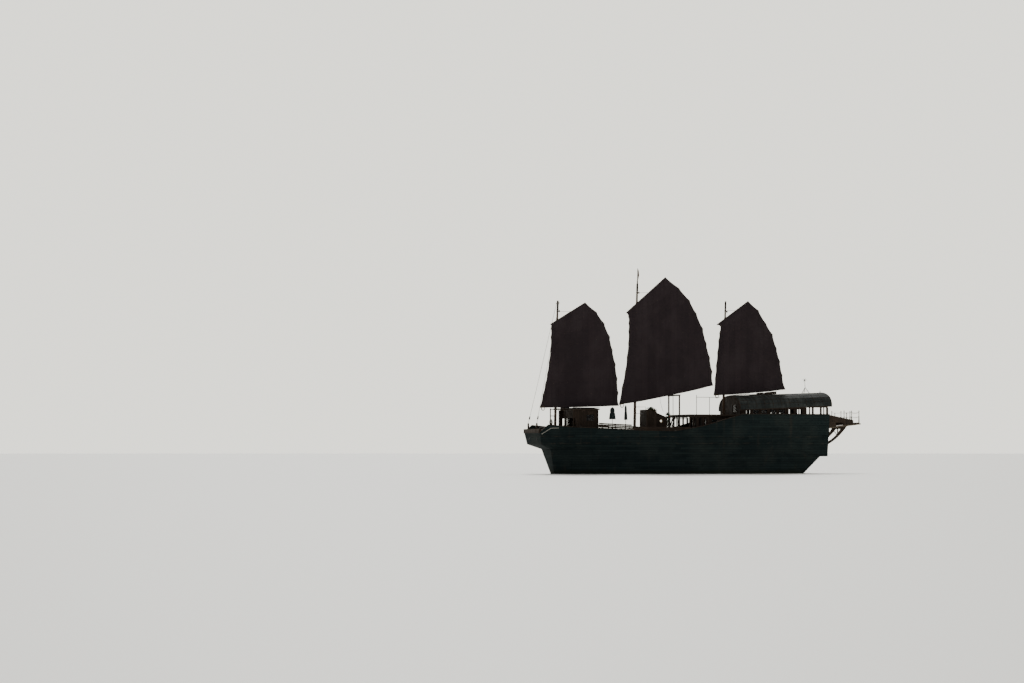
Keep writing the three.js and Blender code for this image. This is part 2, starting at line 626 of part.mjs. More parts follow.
// The mizzen goes through the sun deck, and the awning poles stand in sockets in it
const mizzenAt = (z) => [mastX(MASTS.mizzen, z), 0, z];
const SOCKET = 40;
piece('sun_deck', 'deck', cut(
  solid(box(mh.veranda, DECK_BREAK_AFT - 5, -mh.eave, mh.eave, roofUnder, mh.roofTop)),
  rod(mizzenAt(roofUnder - 500), mizzenAt(mh.roofTop + 500), 150, 150, 20),
  ...[POLES.fore, POLES.aft].map((x) => rod([x, 0, mh.roofTop - SOCKET - SEAT], [x, 0, mh.roofTop + SOCKET],
    POLES.radius + SEAT * 2, POLES.radius + SEAT * 2, 16)),
));

// Stern deckhouse under the barrel roof

// One ring of the barrel: a flattened arch from eave to eave
function archRing(x, half, eave, rise, foot) {
  const steps = 18;
  const power = 2 / 2.3;
  const arch = Array.from({ length: steps + 1 }, (_, i) => {
    const angle = (Math.PI * i) / steps;
    const across = Math.sign(Math.cos(angle)) * Math.abs(Math.cos(angle)) ** power;
    return [x, half * across, eave + rise * Math.sin(angle) ** power];
  });
  return [[x, -half, foot], [x, half, foot], ...arch];
}

// The barrel, made smaller all round by shrink, down to a foot at each end
function barrel(shrink, foot0, foot1) {
  return loft([
    archRing(ROOF.x0, ROOF.half - shrink, ROOF.eave0, ROOF.rise0 - shrink, foot0),
    archRing(ROOF.x1, ROOF.half - shrink, ROOF.eave1, ROOF.rise1 - shrink, foot1),
  ]);
}

const BELOW_HOUSE = 4000;     // lower than anything that is fitted under the barrel
const roofOuter = solid(barrel(0, ROOF.eave0 - ROOF.lip, ROOF.eave1 - ROOF.lip));
const roofInner = solid(barrel(ROOF.shell, BELOW_HOUSE, BELOW_HOUSE));
const underRoof = solid(barrel(ROOF.shell + SEAT, BELOW_HOUSE, BELOW_HOUSE));
const finial = solid(rod([15480, 0, 8000], [15560, 0, 8350], 60, 25, 8));
piece('barrel_roof', 'roof', roofOuter.add(finial).subtract(roofInner));

const sh = STERN_HOUSE;
for (const [side, name] of [[-1, 'stern_wall_port'], [1, 'stern_wall_starboard']]) {
  const faces = [side * sh.half, side * (sh.half - WALL)].sort((a, b) => a - b);
  const wall = cut(
    solid(box(sh.x0 + WALL + 1, sh.x1, ...faces, STERN_DECK + SEAT, 7600)),
    ...windowsAlong(sh.x0 + 250, sh.bulkhead - 50, STERN_LIGHT.count, STERN_LIGHT.width, -sh.half - 300,
      sh.half + 300, STERN_LIGHT.low, STERN_LIGHT.high),
    box(sh.bulkhead + 250, sh.x1 - 130, -sh.half - 300, sh.half + 300, STERN_LIGHT.low, 6600),
  );
  piece(name, 'timber', wall.intersect(underRoof));
}

function bulkhead(x, door, windows) {
  const panel = cut(
    solid(box(x, x + WALL, -sh.half + WALL + 1, sh.half - WALL - 1, STERN_DECK + SEAT, 8300)),
    opening(door),
    ...windows,
  );
  return panel.intersect(underRoof);
}

piece('stern_front', 'timber', bulkhead(sh.x0, DOORS.stern_house,
  [box(sh.x0 - 100, sh.x0 + 200, -1900, -700, 6100, 6900)]));
piece('stern_bulkhead', 'timber', bulkhead(sh.bulkhead, DOORS.veranda,
  windowsAcross(sh.bulkhead, 900, 1900, 5900, 6700)));

// Stern gallery with its rail and the knees under it
const gy = GALLERY;
function galleryAt(x) {
  const t = (x - gy.x0) / (gy.x1 - gy.x0);
  return { half: between(gy.half0, gy.half1, t), z: between(gy.z0, gy.z1, t) };
}

const galleryDeck = loft([gy.x0, gy.x1].map((x) => {
  const { half, z } = galleryAt(x);
  return [[x, -half, z - gy.deck], [x, half, z - gy.deck], [x, half, z], [x, -half, z]];
}));
piece('gallery_deck', 'deck', galleryDeck);

// Side boards that slope down aft, each over a freeing port, then a low kerb round the tip, with bare posts
const SIDE_BOARD = { x1: 18600, high: 5960, low: 5380, thick: 60, inset: 30 };
const FREEING_PORT = [16500, 17350, -gy.half0, gy.half0, gy.z0, 5110];
const KERB = { x0: SIDE_BOARD.x1 - 20, x1: 19360, up: 90, thick: 50 };
const POSTS = [[17480, 6240], [17790, 6040], [18400, 6240], [19300, 6240]];
const POST_RADIUS = 36;
const sideAt = (x) => galleryAt(x).half - SIDE_BOARD.inset - SIDE_BOARD.thick / 2;
const boardTop = (x) => between(SIDE_BOARD.high, SIDE_BOARD.low, (x - gy.x0) / (SIDE_BOARD.x1 - gy.x0));
const kerbTop = (x) => galleryAt(x).z + KERB.up;
function sideStrip(side, x0, x1, thick, topAt) {
  return loft([x0, x1].map((x) => {
    const low = galleryAt(x).z - gy.deck / 2;
    const ys = [side * sideAt(x) - thick / 2, side * sideAt(x) + thick / 2];
    return [[x, ys[0], low], [x, ys[1], low], [x, ys[1], topAt(x)], [x, ys[0], topAt(x)]];
  }));
}

const gallerySides = [-1, 1].map((side) => cut(
  solid(sideStrip(side, gy.x0, SIDE_BOARD.x1, SIDE_BOARD.thick, boardTop)), box(...FREEING_PORT),
));
const galleryKerbs = [-1, 1].flatMap((side) => [
  sideStrip(side, KERB.x0, KERB.x1 - 30, KERB.thick, kerbTop),
  ...POSTS.map(([x, top]) => rod([x, side * sideAt(x), galleryAt(x).z - gy.deck / 2],
    [x, side * sideAt(x), top], POST_RADIUS, POST_RADIUS, 8)),
]);
const tipHalf = sideAt(KERB.x1) + 10;
const tip = box(KERB.x1 - 60, KERB.x1, -tipHalf, tipHalf, galleryAt(KERB.x1).z - 40, kerbTop(KERB.x1) + 5);
piece('gallery_rail', 'timber', seated(joined(...galleryKerbs, tip).add(gallerySides[0]).add(gallerySides[1]),
  SEAT, 0, 0).subtract(solid(galleryDeck).translate([0, 0, SEAT])));

// A curved rib from the transom to the gallery's underside, with a post and a strut above it
const KNEE = { root: 15130, low: 2650, high: 2950, tip: 18100, inner: 17550, top: 4950, y: 1150, half: 70 };
function knee(side) {
  const outline = new THREE.Shape();
  outline.moveTo(KNEE.root, KNEE.high);
  outline.lineTo(KNEE.root, KNEE.low);
  outline.quadraticCurveTo(16650, 3020, KNEE.tip, KNEE.top);
  outline.lineTo(KNEE.inner, KNEE.top);
  outline.quadraticCurveTo(16700, 3300, KNEE.root, KNEE.high);
  const settings = { depth: 2 * KNEE.half, bevelEnabled: false, curveSegments: 8 };
  const rib = new THREE.ExtrudeGeometry(outline, settings);
  const y = side * KNEE.y;
  return [
    rib.rotateX(Math.PI / 2).translate(0, y + KNEE.half, 0),
    box(16900, 17000, y - 50, y + 50, 3850, 4900),
    rod([16180, y, 4680], [16930, y, 3830], 45, 45, 8),
  ];
}

// The room above the gallery's underside, for cutting the knees to it
const galleryUnder = solid(loft([gy.x0 - 400, gy.x1].map((x) => {
  const under = galleryAt(x).z - gy.deck - SEAT;
  return [[x, -3000, under], [x, 3000, under], [x, 3000, under + 1000], [x, -3000, under + 1000]];
})));
const kneeTie = box(17450, 17590, -KNEE.y, KNEE.y, 4480, 4900);
const knees = joined(...knee(-1), ...knee(1), kneeTie);
piece('gallery_knees', 'timber', seated(knees, SEAT, 0, 0).subtract(galleryUnder));

// Boom gallows over the waist
const GALLOWS = { x: -200, y: 1550, top: 7860, post: 60, beam: 140, over: 160 };
const gallowsX = [GALLOWS.x - GALLOWS.post, GALLOWS.x + GALLOWS.post];
piece('boom_gallows', 'timber', joined(
  ...[-GALLOWS.y, GALLOWS.y].map((y) => box(...gallowsX, y - GALLOWS.post, y + GALLOWS.post,
    MAIN_DECK + SEAT, GALLOWS.top - 10)),
  box(...gallowsX, -GALLOWS.y - GALLOWS.over, GALLOWS.y + GALLOWS.over, GALLOWS.top - GALLOWS.beam,
    GALLOWS.top),
));

// Frame of bare poles on the sun deck
const poleFoot = mh.roofTop - SOCKET;
piece('awning_poles', 'iron', joined(
  rod([POLES.fore, 0, poleFoot], [POLES.fore, 0, POLES.high], POLES.radius, POLES.radius, 8),
  rod([POLES.aft, 0, poleFoot], [POLES.aft, 0, POLES.bar + 20], POLES.radius, POLES.radius, 8),
  rod([POLES.fore, 0, POLES.bar], [POLES.end, 0, POLES.bar], 24, 24, 8),
));

// Closed parasols on weighted feet, turned about their poles
const FOOT = [[0, SEAT], [260, SEAT], [260, 70], [60, 130], [26, 150]];
function parasol({ x, bottom, top, low, high }) {
  const points = [
    ...FOOT.map(([r, up]) => [r, MAIN_DECK + up]),
    [26, bottom - 20], [low / 2, bottom], [low, bottom + 90], [high, top - 200], [30, top - 60], [18, top],
    [0, top],
  ];
  const lathe = new THREE.LatheGeometry(points.map(([r, z]) => new THREE.Vector2(r, z)), 14);
  return lathe.rotateX(Math.PI / 2).translate(x, 0, 0);
}

piece('parasol_fore', 'canvas', parasol({ x: -6700, bottom: 5380, top: 6640, low: 340, high: 180 }));
piece('parasol_aft', 'canvas', parasol({ x: -5300, bottom: 5330, top: 6830, low: 170, high: 90 }));

// Windlass on the foredeck
const WINDLASS = { x: -13900, y: 900, z: FORE_DECK + 310, cheek: 60, drum: 115 };
piece('windlass_cheeks', 'timber', joined(
  ...[-WINDLASS.y, WINDLASS.y].map((y) => box(WINDLASS.x - 90, WINDLASS.x + 90, y - WINDLASS.cheek,
    y + WINDLASS.cheek, FORE_DECK + SEAT, WINDLASS.z + 130)),
  box(WINDLASS.x - 60, WINDLASS.x + 60, -WINDLASS.y, WINDLASS.y, FORE_DECK + SEAT, FORE_DECK + 90),
));
const drumEnd = WINDLASS.y - WINDLASS.cheek - SEAT;
piece('windlass_drum', 'timber', rod([WINDLASS.x, -drumEnd, WINDLASS.z], [WINDLASS.x, drumEnd, WINDLASS.z],
  WINDLASS.drum, WINDLASS.drum, 12));

// Aerial mast on three legs on the barrel roof
const AERIAL = { x: 13900, spread: 540, foot: 7900, apex: 8680, hub: 9340, top: 9500 };
const apex = [AERIAL.x, 0, AERIAL.apex];
piece('aerial_mast', 'iron', joined(
  rod([AERIAL.x - AERIAL.spread, -200, AERIAL.foot], apex, 30, 24, 8),
  rod([AERIAL.x + AERIAL.spread, -200, AERIAL.foot], apex, 30, 24, 8),
  rod([AERIAL.x, 420, AERIAL.foot], apex, 30, 24, 8),
  rod([AERIAL.x, 0, AERIAL.apex - 40], [AERIAL.x - 40, 0, AERIAL.hub + 20], 26, 16, 8),
  rod([AERIAL.x - 40, 0, AERIAL.hub], [AERIAL.x - 40, 0, AERIAL.top], 60, 30, 10),
).subtract(roofOuter.translate([0, 0, SEAT])));

export default ship;
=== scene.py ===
"""Looks of a three-masted junk ship, in metres: bow towards -X, port towards -Y, waterline at z 0."""

import math
import random

import bmesh
import bpy
from mathutils import Matrix, Vector, noise


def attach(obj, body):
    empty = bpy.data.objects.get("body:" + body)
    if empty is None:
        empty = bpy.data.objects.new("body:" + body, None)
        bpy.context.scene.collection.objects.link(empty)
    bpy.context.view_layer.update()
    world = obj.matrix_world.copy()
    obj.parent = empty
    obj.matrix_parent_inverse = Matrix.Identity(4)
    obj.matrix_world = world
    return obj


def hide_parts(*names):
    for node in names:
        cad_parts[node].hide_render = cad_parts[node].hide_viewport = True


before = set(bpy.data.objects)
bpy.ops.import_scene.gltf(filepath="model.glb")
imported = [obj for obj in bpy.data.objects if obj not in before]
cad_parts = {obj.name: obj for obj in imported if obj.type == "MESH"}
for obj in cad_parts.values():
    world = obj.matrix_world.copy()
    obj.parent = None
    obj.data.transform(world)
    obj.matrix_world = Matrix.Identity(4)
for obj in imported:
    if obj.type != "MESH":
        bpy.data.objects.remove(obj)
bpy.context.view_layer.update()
chance = random.Random(7)

# Sizes of the ship that the pieces are fitted to
FORE_DECK, MAIN_DECK = 4.2, 3.6
CLOTH_Y = -0.3065  # middle of the sails' cloth
BATTEN_Y = -0.2717  # middle of the battens, between the cloth and the masts
ROBAND_Y = -0.245  # middle of the rope turns round yards and booms
SAILS = {  # for the yard, each batten and the boom: luff end and leech end, as x and z
    "fore": [
        ((-13.2, 14.7), (-9.6, 16.9)),
        ((-13.19, 14.31), (-8.42, 15.99)),
        ((-13.2, 13.48), (-7.61, 14.88)),
        ((-13.24, 12.27), (-7.03, 13.57)),
        ((-13.38, 11.005), (-6.75, 12.255)),
        ((-13.55, 9.84), (-6.43, 10.84)),
        ((-13.74, 8.83), (-6.25, 9.43)),
        ((-13.98, 7.765), (-6.15, 8.015)),
        ((-14.26, 6.55), (-6.12, 6.78)),
    ],
    "main": [
        ((-5.3, 15.95), (-1.17, 19.55)),
        ((-5.12, 15.56), (0.27, 18.5)),
        ((-5.1, 14.95), (1.39, 17.3)),
        ((-5.1, 14.15), (2.11, 16)),
        ((-5.11, 13), (2.8, 14.5)),
        ((-5.25, 11.6), (3.18, 13)),
        ((-5.43, 10.1), (3.54, 11.6)),
        ((-5.75, 8.55), (3.79, 10.2)),
        ((-6.06, 6.87), (3.86, 8.85)),
    ],
    "mizzen": [
        ((4.32, 14.9), (7.66, 17.3)),
        ((4.64, 14.75), (8.77, 16.4)),
        ((4.54, 14.08), (9.58, 15.1)),
        ((4.45, 13.3), (10.29, 14)),
        ((4.35, 12.1), (10.72, 12.6)),
        ((4.23, 10.85), (11.08, 11.3)),
        ((4.14, 9.55), (11.33, 9.9)),
        ((3.99, 7.85), (11.64, 8.5)),
    ],
}
MASTS = {  # foot and head as x and z, and the radii there
    "fore": ((-12.66, FORE_DECK), (-12.37, 17.0), 0.135, 0.075),
    "main": ((-4.4, MAIN_DECK), (-4.055, 18.95), 0.15, 0.075),
    "mizzen": ((5.0, MAIN_DECK), (5.32, 17.2), 0.135, 0.07),
}
# The barrel roof: its ends, half-breadth, and its eave's height and rise at each end
ROOF = {"x": (5.7, 15.55), "half": 3.0, "eave": (6.35, 6.78), "rise": (1.44, 1.37)}
HOUSES = {  # front, back, half-breadth, deck and eave
    "fore": (-10.5, -8.8, 1.9, FORE_DECK, 6.305),
    "mid": (2.4, 5.64, 2.7, MAIN_DECK, 5.715),
    "companion": (-3.47, -1.37, 1.0, MAIN_DECK, 5.62),
}
STERN_SIDE = 2.85  # half-breadth of the stern deckhouse
FORE_SILL, MID_SILL, STERN_SILL = 5.2, 4.65, 5.96
FORE_HEAD, MID_HEAD, STERN_HEAD = 5.85, 5.4, 6.42
MID_LIGHTS = (3.04, 4.02, 5.0)  # middles of the mid deckhouse's side windows
STERN_LIGHTS = {  # middle of each window, and what closes it on the port and on the starboard side
    6.477: ("shutter", "glass"), 7.411: ("blind", "half"), 8.346: ("blind", "open"), 9.28: ("half", "open"),
    10.214: ("half", "half"), 11.149: ("open", "glass"), 12.083: ("open", "glass"),
}
PORTHOLE_X, PORTHOLE_Z = -1.94, 5.23
WINDLASS = (-13.9, 0, 4.51)  # middle of the drum


def lerp(a, b, t):
    return a + (b - a) * t


def mast_at(name, z):
    """The mast's x and radius at a height."""
    (x0, z0), (x1, z1), r0, r1 = MASTS[name]
    t = (z - z0) / (z1 - z0)
    return lerp(x0, x1, t), lerp(r0, r1, t)


# Camera at the photograph's angle, 20 degrees ahead of the port beam and just above the water
camera = bpy.data.objects.new("view", bpy.data.cameras.new("view"))
bpy.context.collection.objects.link(camera)
bpy.context.scene.camera = camera
camera.data.lens = 98.4
camera.data.sensor_width = 36
camera.data.clip_start = 1
camera.data.clip_end = 3000
camera.location = (-95.77, -263.1, 2.35)
camera.rotation_euler = (math.radians(92.22), 0, math.radians(-16.65))


# Materials


class Finish:
    """A material and short calls for its nodes."""

    def __init__(self, name, **sockets):
        self.material = bpy.data.materials.new(name)
        self.material.use_nodes = True
        self.tree = self.material.node_tree
        self.tree.nodes.clear()
        self.shader = self.node("BsdfPrincipled")
        self.tree.links.new(self.shader.outputs[0], self.node("OutputMaterial").inputs[0])
        for socket, value in sockets.items():
            self.shader.inputs[socket.replace("_", " ")].default_value = value
        coordinates = self.node("TexCoord")
        self.point = coordinates.outputs["Object"]
        split = self.node("SeparateXYZ", Vector=self.point)
        self.x, self.y, self.z = split.outputs
        facing = self.node("SeparateXYZ", Vector=coordinates.outputs["Normal"])
        self.facing_x = self.math("ABSOLUTE", facing.outputs[0])

    def node(self, kind, settings=None, **inputs):
        made = self.tree.nodes.new("ShaderNode" + kind)
        for key, value in (settings or {}).items():
            setattr(made, key, value)
        for key, value in inputs.items():
            self.put(made.inputs[key.replace("_", " ")], value)
        return made

    def put(self, socket, value):
        if isinstance(value, bpy.types.NodeSocket):
            self.tree.links.new(value, socket)
        else:
            socket.default_value = value

    def math(self, operation, *values):
        made = self.node("Math", {"operation": operation})
        for socket, value in zip(made.inputs, values):
            self.put(socket, value)
        return made.outputs[0]

    def mix(self, share, a, b):
        made = self.node("Mix", {"data_type": "RGBA"})
        for socket, value in ((0, share), (6, a), (7, b)):
            self.put(made.inputs[socket], value)
        return made.outputs[2]

    def span(self, value, low, high, to_low=0.0, to_high=1.0):
        """A smooth step of the value from low to high, as a share or between two other numbers."""
        made = self.node("MapRange", {"interpolation_type": "SMOOTHSTEP"})
        for socket, number in zip(made.inputs, (value, low, high, to_low, to_high)):
            self.put(socket, number)
        return made.outputs[0]

    def stretched(self, x, y, z):
        """The point with each direction scaled, for grain and streaks."""
        made = self.node("VectorMath", {"operation": "MULTIPLY"})
        self.put(made.inputs[0], self.point)
        made.inputs[1].default_value = (x, y, z)
        return made.outputs[0]

    def noise(self, scale, vector=None, detail=4.0, roughness=0.55):
        point = vector or self.point
        made = self.node("TexNoise", Vector=point, Scale=scale, Detail=detail, Roughness=roughness)
        return made.outputs[0]

    def random(self, row, cell=0.0):
        both = self.node("CombineXYZ", X=row, Y=cell)
        return self.node("TexWhiteNoise", {"noise_dimensions": "2D"}, Vector=both.outputs[0]).outputs[0]

    def boards(self, along, across, width, length, gap):
        """Boards side by side: each one's own chance value, and how deep in a seam a point is."""
        row = self.math("FLOOR", self.math("DIVIDE", across, width))
        shift = self.math("MULTIPLY", self.random(row), length * 7.3)
        moved = self.math("ADD", along, shift)
        cell = self.math("FLOOR", self.math("DIVIDE", moved, length))
        side = self.math("PINGPONG", across, width / 2)
        end = self.math("PINGPONG", moved, length / 2)
        near = self.math("MINIMUM", side, end)
        return self.random(row, cell), self.span(near, 0.0, gap, 1.0, 0.0)

    def bump(self, height, distance, strength=1.0):
        return self.node("Bump", Strength=strength, Distance=distance, Height=height).outputs[0]

    def done(self, colour, rough, normal=None):
        self.put(self.shader.inputs["Base Color"], colour)
        self.put(self.shader.inputs["Roughness"], rough)
        if normal is not None:
            self.put(self.shader.inputs["Normal"], normal)
        return self.material


def hull_finish():
    """Tarred and painted planking: streaked, scuffed along its strakes, fouled at the waterline; its
    blue-green cast is painted shade.
    """
    f = Finish("tarred planking", Specular_IOR_Level=0.1)
    board, seam = f.boards(f.x, f.z, 0.24, 6.5, 0.02)
    grain = f.noise(1.0, f.stretched(0.8, 9, 22), 5)
    streak = f.noise(1.0, f.stretched(2.6, 2.6, 0.22), 4)
    patch = f.noise(0.35, None, 5)
    # near-black tar, with a blue-green cast that is painted shade and haze on a side that stands against the
    # light
    colour = f.mix(board, (0.0095, 0.0165, 0.0175, 1), (0.019, 0.031, 0.031, 1))
    colour = f.mix(f.span(patch, 0.42, 0.72), colour, (0.030, 0.040, 0.037, 1))
    colour = f.mix(f.span(streak, 0.55, 0.8, 0, 0.6), colour, (0.046, 0.042, 0.034, 1))
    colour = f.mix(f.span(grain, 0.35, 0.75, 0, 0.35), colour, (0.008, 0.012, 0.013, 1))
    # scuffed bare timber along the two rubbing strakes
    for level in (3.65, 3.0):
        near = f.span(f.math("ABSOLUTE", f.math("SUBTRACT", f.z, level)), 0.04, 0.11, 1, 0)
        scuff = f.math("MULTIPLY", near, f.span(f.noise(3.2, f.stretched(0.5, 1, 3)), 0.5, 0.62, 0, 0.45))
        colour = f.mix(scuff, colour, (0.060, 0.048, 0.036, 1))
    ragged = f.math("ADD", f.z, f.math("MULTIPLY", f.noise(1.4, None, 4), 0.3))
    colour = f.mix(f.span(ragged, 0.34, 0.62, 0.75, 0), colour, (0.016, 0.022, 0.012, 1))
    colour = f.mix(f.span(ragged, 0.12, 0.15, 1, 0), colour, (0.060, 0.019, 0.013, 1))
    colour = f.mix(f.math("MULTIPLY", seam, 0.8), colour, (0.003, 0.004, 0.004, 1))
    uneven = f.math("ADD", f.math("MULTIPLY", grain, 0.5), f.math("MULTIPLY", patch, 0.5))
    raised = f.math("ADD", f.math("MULTIPLY", board, 0.35), f.math("MULTIPLY", grain, 0.25))
    height = f.math("SUBTRACT", raised, seam)
    return f.done(colour, f.span(uneven, 0.3, 0.7, 0.72, 0.92), f.bump(height, 0.02, 0.9))


def deck_finish():
    """Scrubbed deck planks with pitch in their seams."""
    f = Finish("scrubbed planks", Specular_IOR_Level=0.3)
    board, seam = f.boards(f.x, f.y, 0.16, 4.2, 0.009)
    grain = f.noise(1.0, f.stretched(1.4, 34, 34), 5)
    worn = f.noise(0.5, None, 5)
    colour = f.mix(board, (0.088, 0.064, 0.042, 1), (0.150, 0.113, 0.078, 1))
    colour = f.mix(f.span(grain, 0.35, 0.7, 0, 0.55), colour, (0.062, 0.043, 0.028, 1))
    colour = f.mix(f.span(worn, 0.45, 0.7, 0, 0.6), colour, (0.185, 0.155, 0.120, 1))
    colour = f.mix(seam, colour, (0.008, 0.007, 0.006, 1))
    height = f.math("SUBTRACT", f.math("MULTIPLY", grain, 0.3), seam)
    return f.done(colour, f.span(worn, 0.3, 0.7, 0.6, 0.85), f.bump(height, 0.006, 0.8))


def wall_finish(name, dark, light):
    """Upright varnished boards on a deckhouse, dulled and darkened by weather."""
    f = Finish(name, Specular_IOR_Level=0.12)
    across = f.node("Mix", {"data_type": "FLOAT"}, Factor=f.span(f.facing_x, 0.45, 0.55))
    f.put(across.inputs[2], f.x)
    f.put(across.inputs[3], f.y)
    board, seam = f.boards(f.z, across.outputs[0], 0.13, 5.0, 0.008)
    grain = f.noise(1.0, f.stretched(30, 30, 1.3), 5)
    damp = f.noise(1.1, f.stretched(1.6, 1.6, 0.5), 4)
    colour = f.mix(board, (*dark, 1), (*light, 1))
    colour = f.mix(f.span(grain, 0.35, 0.72, 0, 0.6), colour, (*[c * 0.45 for c in dark], 1))
    colour = f.mix(f.span(damp, 0.5, 0.75, 0, 0.55), colour, (*[c * 1.5 + 0.012 for c in light], 1))
    colour = f.mix(f.math("MULTIPLY", seam, 0.9), colour, (0.006, 0.004, 0.003, 1))
    height = f.math("SUBTRACT", f.math("MULTIPLY", grain, 0.25), seam)
    return f.done(colour, f.span(damp, 0.3, 0.7, 0.62, 0.85), f.bump(height, 0.008, 0.8))


def timber_finish(name, dark, light, stretch, rough=(0.6, 0.82)):
    """Solid timber with its grain along one direction."""
    f = Finish(name, Specular_IOR_Level=0.15)
    grain = f.noise(1.0, f.stretched(*stretch), 6, 0.6)
    bands = f.noise(1.0, f.stretched(*[s * 0.22 for s in stretch]), 3)
    worn = f.noise(1.7, None, 4)
    colour = f.mix(f.span(bands, 0.3, 0.7), (*dark, 1), (*light, 1))
    colour = f.mix(f.span(grain, 0.4, 0.7, 0, 0.65), colour, (*[c * 0.4 for c in dark], 1))
    colour = f.mix(f.span(worn, 0.56, 0.74, 0, 0.5), colour, (*[c * 1.6 + 0.02 for c in light], 1))
    return f.done(colour, f.span(worn, 0.3, 0.7, *rough), f.bump(grain, 0.004, 0.7))


def sail_finish():
    """Tanned sailcloth, darkened and tinted aubergine as painted shade: upright cloths sewn side by side,
    stained and streaked by weather.
    """
    f = Finish("tanned sailcloth in painted shade", Specular_IOR_Level=0.2, Sheen_Weight=0.12, Sheen_Roughness=0.5)
    board, seam = f.boards(f.z, f.x, 0.62, 60.0, 0.016)
    thread = f.noise(1.0, f.stretched(260, 1, 42), 2)
    weft = f.noise(1.0, f.stretched(42, 1, 260), 2)
    stain = f.noise(0.42, f.stretched(1, 1, 0.6), 6, 0.6)
    run = f.noise(1.0, f.stretched(2.4, 1, 0.14), 5)
    # the cloth's dark aubergine shades are painted shade and haze, for sails that stand against the light
    colour = f.mix(board, (0.0185, 0.0118, 0.0145, 1), (0.0265, 0.0172, 0.0202, 1))
    colour = f.mix(f.span(stain, 0.42, 0.68, 0, 0.75), colour, (0.042, 0.031, 0.034, 1))
    colour = f.mix(f.span(run, 0.55, 0.78, 0, 0.5), colour, (0.013, 0.008, 0.010, 1))
    colour = f.mix(f.math("MULTIPLY", seam, 0.7), colour, (0.013, 0.006, 0.007, 1))
    weave = f.math("ADD", f.math("MULTIPLY", thread, 0.5), f.math("MULTIPLY", weft, 0.5))
    colour = f.mix(f.span(weave, 0.42, 0.6, 0, 0.25), colour, (0.056, 0.038, 0.040, 1))
    height = f.math("ADD", f.math("MULTIPLY", weave, 0.2), f.math("MULTIPLY", seam, 0.8))
    return f.done(colour, f.span(stain, 0.3, 0.7, 0.8, 0.95), f.bump(height, 0.006, 0.7))


def roof_finish():
    """Tarred canvas over the roofs, laid in strips athwart, patched and chalky."""
    f = Finish("tarred canvas", Specular_IOR_Level=0.1)
    board, seam = f.boards(f.y, f.x, 0.89, 40.0, 0.025)
    patch = f.noise(0.7, None, 6, 0.6)
    run = f.noise(1.0, f.stretched(3.2, 0.35, 0.35), 4)
    fine = f.noise(38, None, 2)
    colour = f.mix(board, (0.026, 0.030, 0.029, 1), (0.040, 0.045, 0.043, 1))
    colour = f.mix(f.span(patch, 0.42, 0.7, 0, 0.7), colour, (0.085, 0.092, 0.086, 1))
    colour = f.mix(f.span(run, 0.55, 0.78, 0, 0.55), colour, (0.014, 0.017, 0.017, 1))
    colour = f.mix(f.math("MULTIPLY", seam, 0.8), colour, (0.010, 0.011, 0.011, 1))
    height = f.math("ADD", f.math("MULTIPLY", fine, 0.3), f.math("MULTIPLY", seam, 0.7))
    return f.done(colour, f.span(patch, 0.3, 0.7, 0.8, 0.95), f.bump(height, 0.008, 0.8))


def rope_finish(name="tarred rope", dark=(0.020, 0.016, 0.012), light=(0.070, 0.055, 0.038)):
    f = Finish(name, Specular_IOR_Level=0.25)
    lay = f.noise(1.0, f.stretched(45, 45, 45), 3)
    age = f.noise(1.3, None, 3)
    colour = f.mix(f.span(lay, 0.38, 0.62), (*dark, 1), (*light, 1))
    colour = f.mix(f.span(age, 0.45, 0.7, 0, 0.4), colour, (*[c * 1.6 for c in light], 1))
    return f.done(colour, f.span(lay, 0.3, 0.7, 0.75, 0.95), f.bump(lay, 0.006, 1.0))


def metal_finish(name, base, worn, rust, metallic, rough):
    f = Finish(name, Metallic=metallic)
    mottle = f.noise(5.0, None, 5)
    spots = f.noise(17.0, None, 5, 0.65)
    colour = f.mix(f.span(mottle, 0.35, 0.7), (*base, 1), (*worn, 1))
    colour = f.mix(f.span(spots, 0.56, 0.68, 0, 0.7), colour, (*rust, 1))
    return f.done(colour, f.span(mottle, 0.3, 0.7, *rough), f.bump(spots, 0.002, 0.7))


def leaf_finish():
    f = Finish("leaves", Specular_IOR_Level=0.4, Subsurface_Weight=0.05)
    shade = f.noise(3.0, None, 3)
    vein = f.noise(24.0, None, 2)
    colour = f.mix(f.span(shade, 0.35, 0.65), (0.012, 0.030, 0.010, 1), (0.035, 0.070, 0.020, 1))
    colour = f.mix(f.span(vein, 0.5, 0.7, 0, 0.4), colour, (0.060, 0.085, 0.030, 1))
    return f.done(colour, f.span(shade, 0.3, 0.7, 0.4, 0.6), f.bump(vein, 0.004, 0.6))


def pane_finish():
    f = Finish("window glass", Alpha=0.28, Specular_IOR_Level=0.7)
    dirt = f.noise(2.2, None, 4)
    colour = f.mix(f.span(dirt, 0.4, 0.7), (0.012, 0.016, 0.017, 1), (0.05, 0.055, 0.052, 1))
    return f.done(colour, f.span(dirt, 0.3, 0.7, 0.04, 0.2))


def canvas_finish(name, dark, light):
    f = Finish(name, Specular_IOR_Level=0.2, Sheen_Weight=0.15, Sheen_Roughness=0.5)
    weave = f.noise(1.0, f.stretched(190, 190, 190), 2)
    stain = f.noise(2.6, None, 5)
    colour = f.mix(f.span(stain, 0.35, 0.7), (*dark, 1), (*light, 1))
    colour = f.mix(f.span(weave, 0.4, 0.62, 0, 0.3), colour, (*[c * 0.6 for c in dark], 1))
    return f.done(colour, f.span(stain, 0.3, 0.7, 0.8, 0.95), f.bump(weave, 0.003, 0.7))


